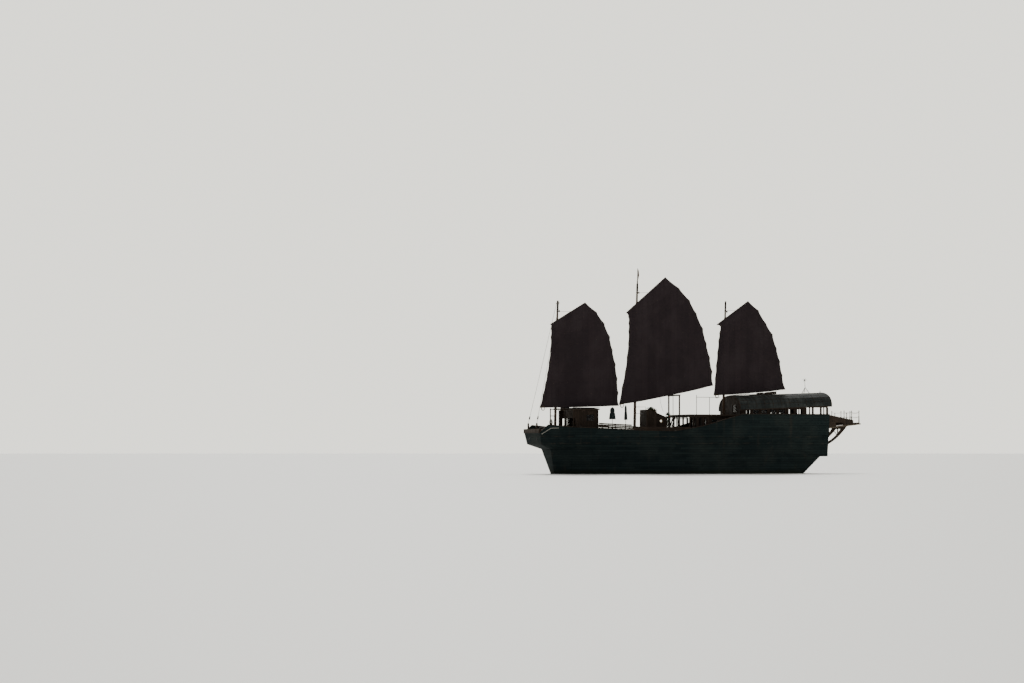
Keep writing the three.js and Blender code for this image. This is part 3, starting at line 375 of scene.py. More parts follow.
HULL = hull_finish()
DECK = deck_finish()
HOUSE = wall_finish("varnished boards", (0.030, 0.021, 0.015), (0.050, 0.034, 0.024))
TRIM_SHADES = (0.032, 0.022, 0.016), (0.057, 0.038, 0.026)
TRIM_X = timber_finish("trim timber fore and aft", *TRIM_SHADES, (1.2, 26, 26))
TRIM_Y = timber_finish("trim timber athwart", *TRIM_SHADES, (26, 1.2, 26))
TRIM_Z = timber_finish("trim timber upright", *TRIM_SHADES, (26, 26, 1.2))
SPAR_Z = timber_finish(
    "mast timber", (0.060, 0.034, 0.019), (0.105, 0.062, 0.034), (30, 30, 0.9), (0.35, 0.6),
)
SPAR_X = timber_finish(
    "yard timber", (0.052, 0.030, 0.017), (0.090, 0.053, 0.029), (1.0, 30, 18), (0.4, 0.65),
)
SAIL = sail_finish()
ROOFING = roof_finish()
ROPE = rope_finish()
PALE_ROPE = rope_finish("manila rope", (0.060, 0.045, 0.028), (0.140, 0.108, 0.070))
IRON = metal_finish(
    "black iron", (0.020, 0.021, 0.022), (0.050, 0.050, 0.050), (0.075, 0.032, 0.016), 0.75, (0.4, 0.65),
)
STEEL = metal_finish(
    "painted steel", (0.030, 0.032, 0.035), (0.055, 0.057, 0.058), (0.08, 0.04, 0.02), 0.3, (0.5, 0.75),
)
BRONZE = metal_finish(
    "bronze", (0.35, 0.21, 0.08), (0.45, 0.29, 0.12), (0.07, 0.12, 0.08), 1.0, (0.25, 0.5),
)
LEAF = leaf_finish()
CLAY = timber_finish("fired clay", (0.10, 0.035, 0.018), (0.16, 0.065, 0.035), (9, 9, 9), (0.7, 0.9))
PANE = pane_finish()
PARASOL = canvas_finish("parasol canvas", (0.032, 0.047, 0.046), (0.054, 0.075, 0.072))
BUNTING = canvas_finish("bunting", (0.060, 0.022, 0.012), (0.10, 0.045, 0.020))

CAD_FINISH = {
    HULL: ("hull", "bulwark_port", "bulwark_starboard", "skeg", "rudder"),
    DECK: ("fore_deck", "main_deck", "stern_deck", "sun_deck", "gallery_deck"),
    HOUSE: (
        "fore_house", "companion_house", "mid_house", "stern_wall_port", "stern_wall_starboard",
        "stern_front", "stern_bulkhead", "fore_house_door", "mid_house_door", "stern_house_door",
        "veranda_door",
    ),
    TRIM_X: ("cap_rail_port", "cap_rail_starboard", "gallery_rail"),
    TRIM_Y: ("bow_beam", "windlass_drum", "boom_gallows"),
    TRIM_Z: ("mast_bitt", "fore_porch", "veranda_frame", "windlass_cheeks", "gallery_knees"),
    SPAR_Z: ("fore_mast", "main_mast", "mizzen_mast"),
    SPAR_X: tuple(f"{mast}_{part}" for mast in SAILS for part in ("yard", "boom", "battens")),
    ROOFING: ("barrel_roof", "fore_house_roof"),
    IRON: ("forestay_port", "forestay_starboard"),
    STEEL: ("awning_poles", "aerial_mast"),
    BRONZE: ("propeller",),
    SAIL: ("fore_sail", "main_sail", "mizzen_sail"),
    BUNTING: ("pennant",),
    PARASOL: ("parasol_fore", "parasol_aft"),
}
for finish, names in CAD_FINISH.items():
    for name in names:
        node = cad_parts[name]
        node.data.materials.clear()
        node.data.materials.append(finish)


# Shapes


def bar(bm, low, high, edge):
    """A squared timber between two corners, with its edges taken off."""
    verts = bmesh.ops.create_cube(bm, size=1)["verts"]
    low, high = Vector(map(min, low, high)), Vector(map(max, low, high))
    bmesh.ops.scale(bm, vec=high - low, verts=verts)
    bmesh.ops.translate(bm, vec=(low + high) / 2, verts=verts)
    edges = {e for v in verts for e in v.link_edges}
    if edge:
        bmesh.ops.bevel(
            bm, geom=list(edges), offset=edge, offset_type="OFFSET", affect="EDGES", segments=1, profile=0.5,
            material=-1,
        )


QUARTER = {axis: Matrix.Rotation(math.pi / 2, 4, axis) for axis in "XYZ"}


def placed(x, y, z):
    """A placement at a point, unturned."""
    return Matrix.Translation((x, y, z))


def turned_to(a, b):
    """A placement with its middle between two points and its Z along the line from a to b."""
    a, b = Vector(a), Vector(b)
    return Matrix.Translation((a + b) / 2) @ (b - a).to_track_quat("Z", "Y").to_matrix().to_4x4()


def as_mesh(bm):
    mesh = bpy.data.meshes.new("part")
    bm.to_mesh(mesh)
    bm.free()
    return mesh


def stamp(bm, mesh, place):
    """Adds a copy of a part's mesh at a placement."""
    mesh.transform(place)
    bm.from_mesh(mesh)
    mesh.transform(place.inverted())


def placed_bar(bm, low, high, edge, place):
    """A squared timber between two corners, carried to a placement."""
    part = bmesh.new()
    bar(part, low, high, edge)
    stamp(bm, as_mesh(part), place)


def beam(bm, a, b, width, depth, edge):
    """A squared timber from a to b, width across and depth up."""
    half = Vector((width, depth, (Vector(b) - Vector(a)).length)) / 2
    placed_bar(bm, -half, half, edge, turned_to(a, b))


def rod(bm, a, b, radius, end_radius=None, sides=8):
    """A round bar from a to b."""
    bmesh.ops.create_cone(
        bm, cap_ends=True, segments=sides, radius1=radius, radius2=end_radius or radius,
        depth=(Vector(b) - Vector(a)).length, matrix=turned_to(a, b),
    )


def spun_part(bm, profile, around):
    """The mesh of a profile spun once about Z."""
    bmesh.ops.spin(
        bm, geom=profile, cent=(0, 0, 0), axis=(0, 0, 1), dvec=(0, 0, 0), angle=2 * math.pi, steps=around,
        use_merge=True, use_duplicate=False,
    )
    bmesh.ops.remove_doubles(bm, verts=bm.verts, dist=1e-5)
    return as_mesh(bm)


def ring_part(major, minor, around, sides):
    """A ring of round rod about Z."""
    bm = bmesh.new()
    upright = placed(major, 0, 0) @ QUARTER["X"]
    verts = bmesh.ops.create_circle(bm, segments=sides, radius=minor, matrix=upright)["verts"]
    edges = list({e for v in verts for e in v.link_edges})
    return spun_part(bm, verts + edges, around)


def turned_part(points, around=16):
    """A shape turned about Z from (radius, height) points that start and end on the axis."""
    bm = bmesh.new()
    verts = [bmesh.ops.create_vert(bm, co=(r, 0, z))["vert"][0] for r, z in points]
    edges = [bm.edges.new(pair) for pair in zip(verts, verts[1:])]
    return spun_part(bm, verts + edges, around)


def flat_ring(inner, outer, thick):
    """A flat ring about Z, such as a porthole's rim, with its upper outer edge taken off."""
    bm = bmesh.new()
    points = (
        (inner, -thick / 2), (outer, -thick / 2), (outer, thick / 4), (outer - thick / 3, thick / 2),
        (inner, thick / 2),
    )
    verts = [bmesh.ops.create_vert(bm, co=(r, 0, z))["vert"][0] for r, z in points]
    edges = [bm.edges.new((verts[k - 1], verts[k])) for k in range(len(verts))]
    return spun_part(bm, verts + edges, 24)


def piece(name, bm, finish, body="hull", smooth=35, replaces=()):
    """Closes a piece: its mesh, finish and body."""
    bmesh.ops.recalc_face_normals(bm, faces=bm.faces)
    mesh = bpy.data.meshes.new(name)
    bm.to_mesh(mesh)
    bm.free()
    mesh.materials.append(finish)
    mesh.shade_smooth()
    mesh.set_sharp_from_angle(angle=math.radians(smooth))
    made = bpy.data.objects.new(name, mesh)
    bpy.context.collection.objects.link(made)
    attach(made, body)
    if replaces:
        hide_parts(*replaces)
    return made


def ropes(name, lines, radius, finish, body="hull", sides=1):
    """Ropes as one curve object, one spline a line."""
    curve = bpy.data.curves.new(name, "CURVE")
    curve.dimensions = "3D"
    curve.bevel_depth = radius
    curve.bevel_resolution = sides
    curve.use_fill_caps = True
    for line in lines:
        spline = curve.splines.new("POLY")
        spline.points.add(len(line) - 1)
        for point, co in zip(spline.points, line):
            point.co = (*co, 1)
        spline.use_smooth = True
    curve.materials.append(finish)
    made = bpy.data.objects.new(name, curve)
    bpy.context.collection.objects.link(made)
    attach(made, body)
    return made


# Sails: how far each hangs below its boom's middle line, and how far its luff reaches forward there
SAIL_HANG = {"fore": (0.085, 0.05), "main": (0.15, 0.06), "mizzen": (0.12, 0.10)}


def sail_point(name, across, down):
    """A point of a sail's cloth: across from luff to leech, down in rows from the yard."""
    rows = SAILS[name]
    hang, reach = SAIL_HANG[name]
    last = len(rows) - 2
    row = min(int(down), last)
    t = down - row
    lap = 0.025 if row == 0 else 0  # of the head over the yard
    ends = []
    for end, inward in ((0, lerp(0.03, -reach, down / (last + 1))), (1, -0.03)):
        (x0, z0), (x1, z1) = rows[row][end], rows[row + 1][end]
        ends.append((lerp(x0, x1, t) + inward, lerp(z0 + lap, z1, t)))
    (xa, za), (xb, zb) = ends
    hollow = 4 * t * (1 - t)
    tall = abs(rows[row][1][1] - rows[row + 1][1][1])
    xa += 0.05 * hollow * min(tall, 1.2)
    xb -= 0.085 * hollow * min(tall, 1.2)
    x, z = lerp(xa, xb, across), lerp(za, zb, across)
    puff = hollow * min(tall, 1.3) * math.sin(math.pi * across) ** 0.35
    coarse, fine = Vector((x * 1.1, 0, z * 0.55)), Vector((x * 3.1, 4, z * 0.8))
    wrinkle = noise.noise(coarse) * 0.5 + noise.noise(fine) * 0.22
    belly = max(0.0, 0.058 * puff * (1 + 0.6 * wrinkle))
    foot = (hang if row == last else 0) * t ** 4 * (1 - (2 * across - 1) ** 4)
    return x, CLOTH_Y - belly, z - foot


def sail(name):
    """A sail's cloth with the bolt rope round its edge."""
    rows = SAILS[name]
    panels, per_panel, wide = len(rows) - 1, 7, 56
    bm = bmesh.new()
    bmesh.ops.create_grid(bm, x_segments=wide, y_segments=panels * per_panel, size=1)
    for v in bm.verts:
        v.co = sail_point(name, (v.co.x + 1) / 2, (1 - v.co.y) / 2 * panels)
    bmesh.ops.recalc_face_normals(bm, faces=bm.faces)
    bmesh.ops.solidify(bm, geom=bm.faces[:], thickness=0.007)
    cloth = piece(f"{name}_sail_cloth", bm, SAIL, f"{name}_rig", 50, [f"{name}_sail"])
    outline = [sail_point(name, 0, k / 4) for k in range(panels * 4 + 1)]
    outline += [sail_point(name, 1, k / 4) for k in range(panels * 4, -1, -1)]
    closed = outline + outline[:1]
    ropes(f"{name}_bolt_rope", [closed], 0.016, ROPE, f"{name}_rig", 2)


def square_to(luff, leech):
    """The turn that sets a ring square to the batten, yard or boom between two points."""
    slope = math.atan2(leech[1] - luff[1], leech[0] - luff[0])
    return Matrix.Rotation(-slope, 4, "Y") @ QUARTER["Y"]


def sail_lashings(name):
    """Rope turns that hold the cloth to its battens, yard and boom, and loops round the mast."""
    rows = SAILS[name]
    loop = ring_part(0.048, 0.0075, 12, 5)
    knot = ring_part(0.052, 0.016, 12, 6)
    bm = bmesh.new()
    for luff, leech in rows[1:-1]:
        count = max(6, round((leech[0] - luff[0]) / 0.72))
        turn = square_to(luff, leech)
        for k in range(count + 1):
            t = (k + 0.12) / (count + 0.24)
            x, z = lerp(luff[0], leech[0], t), lerp(luff[1], leech[1], t)
            if 0 < k < count:
                stamp(bm, loop, placed(x, BATTEN_Y - 0.004, z) @ turn)
                continue
            for beside in (0, 0.04 if k == 0 else -0.04):
                stamp(bm, knot, placed(x + beside, BATTEN_Y - 0.004, z) @ turn)
    piece(f"{name}_lashings", bm, PALE_ROPE, f"{name}_rig", 60)
    # marline turns round yard and boom, through eyelets in the cloth
    bm = bmesh.new()
    roband = ring_part(0.075, 0.007, 14, 5)
    for luff, leech in (rows[0], rows[-1]):
        count = round((Vector(leech) - Vector(luff)).length / 0.34)
        turn = square_to(luff, leech)
        for k in range(1, count):
            x, z = lerp(luff[0], leech[0], k / count), lerp(luff[1], leech[1], k / count)
            stamp(bm, roband, placed(x, ROBAND_Y, z) @ turn @ Matrix.Rotation(0.12, 4, "X"))
    piece(f"{name}_robands", bm, PALE_ROPE, f"{name}_rig", 60)
    # parrels from each batten round the mast, where the batten crosses it
    lines = []
    for luff, leech in rows[1:-1]:
        slope = (leech[1] - luff[1]) / (leech[0] - luff[0])
        x = mast_at(name, luff[1])[0]
        z = luff[1] + slope * (x - luff[0])
        if z > MASTS[name][1][1] - 0.3 or x < luff[0] + 0.12:
            continue
        x, radius = mast_at(name, z)
        reach = radius + 0.035
        line = [(x - reach - 0.05, BATTEN_Y + 0.04, z)]
        for k in range(13):
            aft, out = -math.cos(math.pi * k / 12), math.sin(math.pi * k / 12)
            line.append((x + reach * aft, reach * out * 1.02, z + 0.012 * out))
        line.append((x + reach + 0.05, BATTEN_Y + 0.04, z + slope * 2 * reach))
        lines.append(line)
    ropes(f"{name}_parrels", lines, 0.014, ROPE, f"{name}_rig", 2)


for mast in SAILS:
    sail(mast)
    sail_lashings(mast)


# Masts: bands, trucks, wedges at the deck, blocks and the lines that lie along them


def round_point(x, radius, angle, z):
    """A point at an angle round the upright line that stands at x."""
    return x + radius * math.cos(angle), radius * math.sin(angle), z


def block_part():
    """A wooden pulley block: two cheeks and the sheave between them."""
    bm = bmesh.new()
    for side in (-1, 1):
        cheek = bmesh.ops.create_cone(
            bm, cap_ends=True, segments=14, radius1=0.085, radius2=0.085, depth=0.03,
            matrix=placed(0, side * 0.032, 0) @ QUARTER["X"],
        )["verts"]
        bmesh.ops.scale(bm, vec=(0.8, 1, 1.25), verts=cheek)
    bmesh.ops.create_cone(
        bm, cap_ends=True, segments=14, radius1=0.062, radius2=0.062, depth=0.03, matrix=QUARTER["X"],
    )
    bmesh.ops.bevel(
        bm, geom=[e for e in bm.edges if e.calc_face_angle(0) > 1], offset=0.006, offset_type="OFFSET",
        affect="EDGES", segments=1, profile=0.5, material=-1,
    )
    return as_mesh(bm)


BLOCK = block_part()
iron_bm, wood_bm = bmesh.new(), bmesh.new()
falls = []
for mast, deck in (("fore", FORE_DECK), ("main", MAIN_DECK), ("mizzen", MAIN_DECK)):
    (foot_x, foot_z), (head_x, top), _, _ = MASTS[mast]
    tilt = Matrix.Rotation(math.atan2(head_x - foot_x, top - foot_z), 4, "Y")
    for z in (top - 0.08, top - 0.75, deck + 1.1, deck + 1.9):
        x, radius = mast_at(mast, z)
        band = ring_part(radius + 0.006, 0.014, 20, 6)
        band.transform(Matrix.Scale(2.4, 4, (0, 0, 1)))
        stamp(iron_bm, band, placed(x, 0, z) @ tilt)
    x, radius = mast_at(mast, deck + 0.09)
    for k in range(8):
        angle = math.pi * (k + 0.5) / 4
        low = round_point(x, radius + 0.045, angle, deck)
        high = round_point(x, radius + 0.03, angle, deck + 0.16)
        placed_bar(wood_bm, (-0.045, -0.03, -0.08), (0.045, 0.03, 0.08), 0.008, turned_to(low, high))
    if mast != "main":
        x, radius = mast_at(mast, top)
        truck = turned_part([
            (0, 0), (radius + 0.03, 0.0), (radius + 0.04, 0.03), (radius, 0.06), (0.02, 0.11), (0, 0.12),
        ])
        stamp(wood_bm, truck, placed(x, 0, top))
    # halyard blocks hang aft of the head; their falls come down beside the mast to cleats
    x, radius = mast_at(mast, top - 0.8)
    stamp(wood_bm, BLOCK, placed(x + radius + 0.09, 0.0, top - 0.95))
    low_x, low_radius = mast_at(mast, deck + 1.3)
    for side in (-1, 1):
        foot = (low_x + side * 0.06, low_radius + 0.06, deck + 1.3)
        falls.append([(x + side * 0.05, radius + 0.09, top - 0.8), foot])
        placed_bar(wood_bm, (-0.018, -0.035, -0.13), (0.018, 0.0, 0.13), 0.008, placed(*foot))
        placed_bar(wood_bm, (-0.02, -0.07, -0.035), (0.02, 0.0, 0.035), 0.006, placed(*foot))
piece("mast_bands", iron_bm, IRON)
piece("mast_fittings", wood_bm, TRIM_Z)
ropes("halyard_falls", falls, 0.013, ROPE, sides=2)

# Short spans from each mast to its yard, which ride with the yard on a collar of rope
for mast, z in (("fore", 16.0), ("main", 18.0), ("mizzen", 16.35)):
    (x0, z0), (x1, z1) = SAILS[mast][0]
    x, radius = mast_at(mast, z)
    yard_x = lerp(x0, x1, (z - z0) / (z1 - z0))
    collar = [round_point(x, radius + 0.03, math.pi * k / 8, z) for k in range(17)]
    span = [(x + radius + 0.03, -0.03, z), (yard_x, -0.235, z + 0.01)]
    ropes(f"{mast}_yard_span", [collar, span], 0.016, ROPE, f"{mast}_rig", 2)


# Parts that stand on deck or hang on the ship


def leaf_spray(bm, foot, count, length, width, lifts):
    """Long pointed leaves that rise from one foot and arch outwards."""
    for k in range(count):
        turn = 2.4 * k + chance.uniform(-0.3, 0.3)
        lift, droop = math.radians(chance.uniform(*lifts)), chance.uniform(0.7, 1.7)
        long, wide = length * chance.uniform(0.65, 1.1), width * chance.uniform(0.8, 1.15)
        leaf = bmesh.new()
        bmesh.ops.create_grid(leaf, x_segments=2, y_segments=6, size=1)
        for v in leaf.verts:
            along, across = (v.co.y + 1) / 2, v.co.x
            half = wide / 2 * (0.06 + math.sin(math.pi * min(1, 0.12 + 0.88 * along)) ** 0.8) * across
            bent = lift - droop * along
            out = 0.02 + long / droop * (math.sin(lift) - math.sin(bent))
            up = long / droop * (math.cos(bent) - math.cos(lift)) + 0.35 * abs(half)
            v.co = (
                foot[0] + out * math.cos(turn) - half * math.sin(turn),
                foot[1] + out * math.sin(turn) + half * math.cos(turn),
                foot[2] + up,
            )
        bmesh.ops.solidify(leaf, geom=leaf.faces[:], thickness=0.004)
        stamp(bm, as_mesh(leaf), Matrix.Identity(4))


def window(sinks, axis, outer, inward, u0, u1, v0, v1, fill):
    """A cased window in a wall that faces along X or Y: casing, sash, pane and a slatted blind.

    It runs from u0 to u1 along the wall and from v0 to v1 in height; outer is the wall's face.
    """
    timber, glass, slats = sinks
    casing = 0.055

    def block(bm, ua, ub, wa, wb, va, vb, edge=0.005):
        """A squared timber from wa to wb into the wall."""
        a, b = outer + inward * wa, outer + inward * wb
        if axis == "y":
            bar(bm, (ua, a, va), (ub, b, vb), edge)
        else:
            bar(bm, (a, ua, va), (b, ub, vb), edge)

    block(timber, u0 - casing, u0 + 0.004, -0.018, 0.006, v0 - 0.01, v1 + casing)
    block(timber, u1 - 0.004, u1 + casing, -0.018, 0.006, v0 - 0.01, v1 + casing)
    block(timber, u0 - casing, u1 + casing, -0.022, 0.006, v1 - 0.004, v1 + casing + 0.012)
    block(timber, u0 - casing - 0.02, u1 + casing + 0.02, -0.04, 0.01, v0 - 0.05, v0 + 0.004)
    if fill == "shutter":
        for k in range(3):
            block(timber, u0 + 0.085 * k + 0.002, u0 + 0.085 * k + 0.083, 0.02, 0.042, v0 + 0.004, v1 - 0.004)
    if fill in ("open", "shutter"):
        return
    sash, depth = 0.032, (0.020, 0.046)
    for a, b in ((u0, u0 + sash), (u1 - sash, u1)):
        block(timber, a, b, *depth, v0, v1)
    for a, b in ((v0, v0 + sash), (v1 - sash, v1)):
        block(timber, u0, u1, *depth, a, b)
    if u1 - u0 > 0.5:
        middle = (u0 + u1) / 2
        block(timber, middle - 0.011, middle + 0.011, *depth, v0, v1)
    block(glass, u0 + 0.01, u1 - 0.01, 0.031, 0.036, v0 + 0.01, v1 - 0.01, 0)
    if fill == "glass":
        return
    drop = {"blind": 1.0, "half": 0.72}[fill]
    count = round((v1 - v0) * drop / 0.042)
    turn = Matrix.Rotation(inward * 0.3, 4, "X")
    for k in range(count):
        z = v1 - 0.02 - k * (v1 - v0) * drop / count
        if axis == "y":
            place = placed(0, outer + inward * 0.058, z) @ turn
        else:
            place = placed(outer + inward * 0.058, 0, z) @ QUARTER["Z"] @ turn
        placed_bar(slats, (u0 + 0.006, -0.004, -0.026), (u1 - 0.006, 0.004, 0.026), 0.002, place)


timber_bm, glass_bm, slat_bm = bmesh.new(), bmesh.new(), bmesh.new()
sinks = (timber_bm, glass_bm, slat_bm)
for x, fills in STERN_LIGHTS.items():
    for side, fill in zip((-1, 1), fills):
        window(sinks, "y", side * STERN_SIDE, -side, x - 0.32, x + 0.32, STERN_SILL, STERN_HEAD, fill)
fore_front, fore_back, fore_side, _, _ = HOUSES["fore"]
mid_front, _, mid_side, _, _ = HOUSES["mid"]
for side in (-1, 1):
    window(sinks, "y", side * fore_side, -side, -10.05, -9.25, FORE_SILL, FORE_HEAD, "blind")
    window(sinks, "y", side * STERN_SIDE, -side, 12.85, 15.02, STERN_SILL, 6.6, "open")
    for x in MID_LIGHTS:
        fill = "half" if x > 3.5 else "glass"
        window(sinks, "y", side * mid_side, -side, x - 0.31, x + 0.31, MID_SILL, MID_HEAD, fill)
# pairs of windows in walls that stand athwart, and the one beside the stern deckhouse's door
for wall, inward, near, far, sill, head, fill in (
    (fore_front, 1, 0.8, 1.5, FORE_SILL, FORE_HEAD, "blind"),
    (fore_back, -1, 0.7, 1.4, FORE_SILL, FORE_HEAD, "blind"),
    (mid_front, 1, 1.1, 2.1, MID_SILL, MID_HEAD, "half"),
    (12.6, 1, 0.9, 1.9, 5.9, 6.7, "open"),
):
    window(sinks, "x", wall, inward, -far, -near, sill, head, fill)
    window(sinks, "x", wall, inward, near, far, sill, head, fill)
window(sinks, "x", 5.76, 1, -1.9, -0.7, 6.1, 6.9, "half")
piece("window_frames", timber_bm, TRIM_Z)
piece("window_panes", glass_bm, PANE)
piece("window_blinds", slat_bm, TRIM_X)

# Portholes of the companion: a rim with eight bolts on each side, and a pane
rim_bm, pane_bm = bmesh.new(), bmesh.new()
for side in (-1, 1):
    rim = flat_ring(0.118, 0.165, 0.03)
    stamp(rim_bm, rim, placed(PORTHOLE_X, side * 1.002, PORTHOLE_Z) @ QUARTER["X"])
    for k in range(8):
        angle = math.pi * k / 4 + 0.2
        x, z = PORTHOLE_X + 0.143 * math.cos(angle), PORTHOLE_Z + 0.143 * math.sin(angle)
        rod(rim_bm, (x, side * 1.012, z), (x, side * 1.024, z), 0.009, sides=6)
    near, far = (PORTHOLE_X, side * 0.982, PORTHOLE_Z), (PORTHOLE_X, side * 0.990, PORTHOLE_Z)
    rod(pane_bm, near, far, 0.128, sides=24)
piece("porthole_rims", rim_bm, BRONZE)
piece("porthole_panes", pane_bm, PANE)

# Deckhouse trim: corner posts, plinths and fascias
trim_z, trim_x, trim_y = bmesh.new(), bmesh.new(), bmesh.new()
for x0, x1, half, low, high in HOUSES.values():
    for x, way in ((x0, 1), (x1, -1)):
        for side in (-1, 1):
            outer, inner = side * (half + 0.016), side * (half - 0.06)
            bar(trim_z, (x - way * 0.016, outer, low), (x + way * 0.085, inner, high), 0.008)
    for side in (-1, 1):
        bar(trim_x, (x0, side * (half - 0.004), low), (x1, side * (half + 0.022), low + 0.14), 0.006)
        bar(trim_x, (x0, side * (half - 0.004), high - 0.1), (x1, side * (half + 0.02), high - 0.01), 0.006)
# upright battens that cover the boards' joints, parted at the windows
for house, lights, reach, below, above in (
    ("fore", (-9.65,), 0.48, 5.12, 5.93), ("mid", MID_LIGHTS, 0.39, 4.58, 5.48),
):
    x0, x1, half, low, high = HOUSES[house]
    count = round((x1 - x0) / 0.28)
    for k in range(1, count):
        x = lerp(x0, x1, k / count)
        parted = any(abs(x - middle) < reach for middle in lights)
        low_end, high_end = low + 0.14, high - 0.1
        for a, b in ((low_end, below), (above, high_end)) if parted else ((low_end, high_end),):
            for side in (-1, 1):
                inner, outer = side * (half - 0.003), side * (half + 0.012)
                bar(trim_z, (x - 0.016, inner, a), (x + 0.016, outer, b), 0.004)
for side in (-1, 1):
    for x in [5.95 + 0.31 * k for k in range(22)]:
        parted = any(abs(x - middle) <= 0.4 for middle in STERN_LIGHTS)
        for a, b in ((5.0, 5.89), (6.49, 6.55)) if parted else ((5.0, 6.5),):
            bar(trim_z, (x - 0.016, side * 2.847, a), (x + 0.016, side * 2.863, b), 0.004)
    bar(trim_x, (5.84, side * 2.846, 4.952), (15.14, side * 2.874, 5.09), 0.006)
    # fore deckhouse roof edge and the sun deck's coaming
    bar(trim_x, (-11.46, side * 2.035, 6.29), (-8.69, side * 2.062, 6.384), 0.006)
    bar(trim_x, (0.36, side * 2.94, 5.796), (5.66, side * 2.99, 5.88), 0.008)
    bar(trim_x, (0.34, side * 2.99, 5.71), (5.69, side * 3.012, 5.81), 0.006)
    # paired posts in the stern veranda's side openings
    for x, wide in ((13.2, 0.14), (13.5, 0.12), (14.38, 0.14), (14.72, 0.09)):
        bar(trim_z, (x - wide / 2, side * 2.79, 5.95), (x + wide / 2, side * 2.84, 6.61), 0.012)
for x in (-11.46, -8.70):
    bar(trim_y, (x, -2.06, 6.29), (x + 0.02, 2.06, 6.384), 0.005)
bar(trim_y, (0.36, -2.94, 5.796), (0.41, 2.94, 5.88), 0.008)
bar(trim_y, (0.338, -3.01, 5.71), (0.356, 3.01, 5.81), 0.004)
# slatted valance across the front of the porch
for k in range(1, 31):
    y = lerp(-1.80, 1.80, k / 31)
    bar(trim_z, (-11.372, y - 0.045, 5.52), (-11.35, y + 0.045, 6.26), 0.004)
bar(trim_y, (-11.385, -1.81, 5.46), (-11.335, 1.81, 5.54), 0.008)
bar(trim_y, (-11.385, -1.81, 6.22), (-11.335, 1.81, 6.305), 0.008)
piece("house_trim_upright", trim_z, TRIM_Z)
piece("house_trim_athwart", trim_y, TRIM_Y)
piece("house_trim_along", trim_x, TRIM_X)

# Doors: stiles, rails and a ring handle on both faces, riding with the leaf; pull is the ring's y
for name, x0, x1, y0, y1, z0, z1, pull in (
    ("fore_house", -10.5013, -10.4603, -0.344, 0.356, 4.22, 6.07, 0.27),
    ("mid_house", 2.3987, 2.4397, -0.344, 0.356, 3.62, 5.47, 0.27),
    ("stern_house", 5.7587, 5.7997, 0.636, 1.336, 5.83, 7.31, 1.25),
    ("veranda", 12.6303, 12.6713, -0.356, 0.344, 4.97, 6.82, -0.27),
):
    wood, ring = bmesh.new(), bmesh.new()
    for face, way in ((x0, -1), (x1, 1)):
        a, b = face - way * 0.003, face + way * 0.009
        for ya, yb in ((y0 + 0.006, y0 + 0.1), (y1 - 0.1, y1 - 0.006)):
            bar(wood, (a, ya, z0 + 0.01), (b, yb, z1 - 0.01), 0.003)
        middle = lerp(z0, z1, 0.42)
        for za, zb in ((z0 + 0.01, z0 + 0.17), (middle - 0.06, middle + 0.06), (z1 - 0.11, z1 - 0.01)):
            bar(wood, (a, y0 + 0.1, za), (b, y1 - 0.1, zb), 0.003)
        stamp(ring, ring_part(0.035, 0.006, 16, 6), placed(face + way * 0.016, pull, middle) @ QUARTER["Y"])
        rod(ring, (face, pull, middle + 0.035), (face + way * 0.02, pull, middle + 0.035), 0.011, sides=8)
    piece(f"{name}_door_panels", wood, TRIM_Z, f"{name}_door")
    piece(f"{name}_door_ring", ring, BRONZE, f"{name}_door")


# Barrel roof: battens over the canvas, eave boards and end hoops


def roof_point(x, angle, lift=0.0):
    """A point of the barrel roof's skin at x, at an angle up from the starboard eave, lifted off it."""
    (x0, x1), power = ROOF["x"], 2 / 2.3
    t = (x - x0) / (x1 - x0)
    half, rise = ROOF["half"] + lift, lerp(*ROOF["rise"], t) + lift
    c, s = math.cos(angle), math.sin(angle)
    return x, half * math.copysign(abs(c) ** power, c), lerp(*ROOF["eave"], t) + rise * abs(s) ** power


hoop_places = [6.6 + 0.89 * k for k in range(10)]
hoops = [[roof_point(x, math.pi * k / 36, -0.004) for k in range(1, 36)] for x in hoop_places]
ropes("roof_hoops", hoops, 0.024, TRIM_Y, sides=1)
ends = [[roof_point(x, math.pi * k / 36, -0.012) for k in range(37)] for x in (5.72, 15.53)]
ropes("roof_end_hoops", ends, 0.045, TRIM_Y, sides=2)
runs = [[roof_point(lerp(5.72, 15.53, k / 8), math.pi * row / 10) for k in range(9)] for row in range(1, 10)]
ropes("roof_runners", runs, 0.016, TRIM_X, sides=1)
eave_bm = bmesh.new()
for side in (-1, 1):
    beam(eave_bm, (5.69, side * 2.985, 6.315), (15.56, side * 2.985, 6.745), 0.05, 0.1, 0.008)
piece("roof_eaves", eave_bm, TRIM_X)

# Guard boards over the waist's bulwarks
RAIL_LINE = (  # x, half-breadth and height of the rail, and the boards above it from there on
    (-9.2, 3.28, 4.47, 3), (-8.55, 3.34, 4.44, 3), (-7.2, 3.48, 4.37, 3), (-5.9, 3.59, 4.31, 2),
    (-5.0, 3.665, 4.26, 2), (-3.2, 3.72, 4.23, 2), (-1.5, 3.76, 4.2, 2), (0.1, 3.76, 4.22, 2),
)
boards_bm, stanchion_bm = bmesh.new(), bmesh.new()
for side in (-1, 1):
    for (xa, ya, za, rows), (xb, yb, zb, _) in zip(RAIL_LINE, RAIL_LINE[1:]):
        for k in range(rows):
            low = 0.17 + 0.15 * k
            beam(boards_bm, (xa, side * ya, za + low), (xb, side * yb, zb + low), 0.035, 0.13, 0.005)
        count = max(1, round((xb - xa) / 0.9))
        for k in range(count):
            x, y, z = (lerp(p, q, (k + 0.5) / count) for p, q in zip((xa, ya, za), (xb, yb, zb)))
            bar(
                stanchion_bm, (x - 0.03, side * (y - 0.045), z + 0.055),
                (x + 0.03, side * (y - 0.012), z + 0.1 + 0.15 * rows), 0.005,
            )
piece("waist_guard_boards", boards_bm, TRIM_X)
piece("waist_stanchions", stanchion_bm, TRIM_Z)

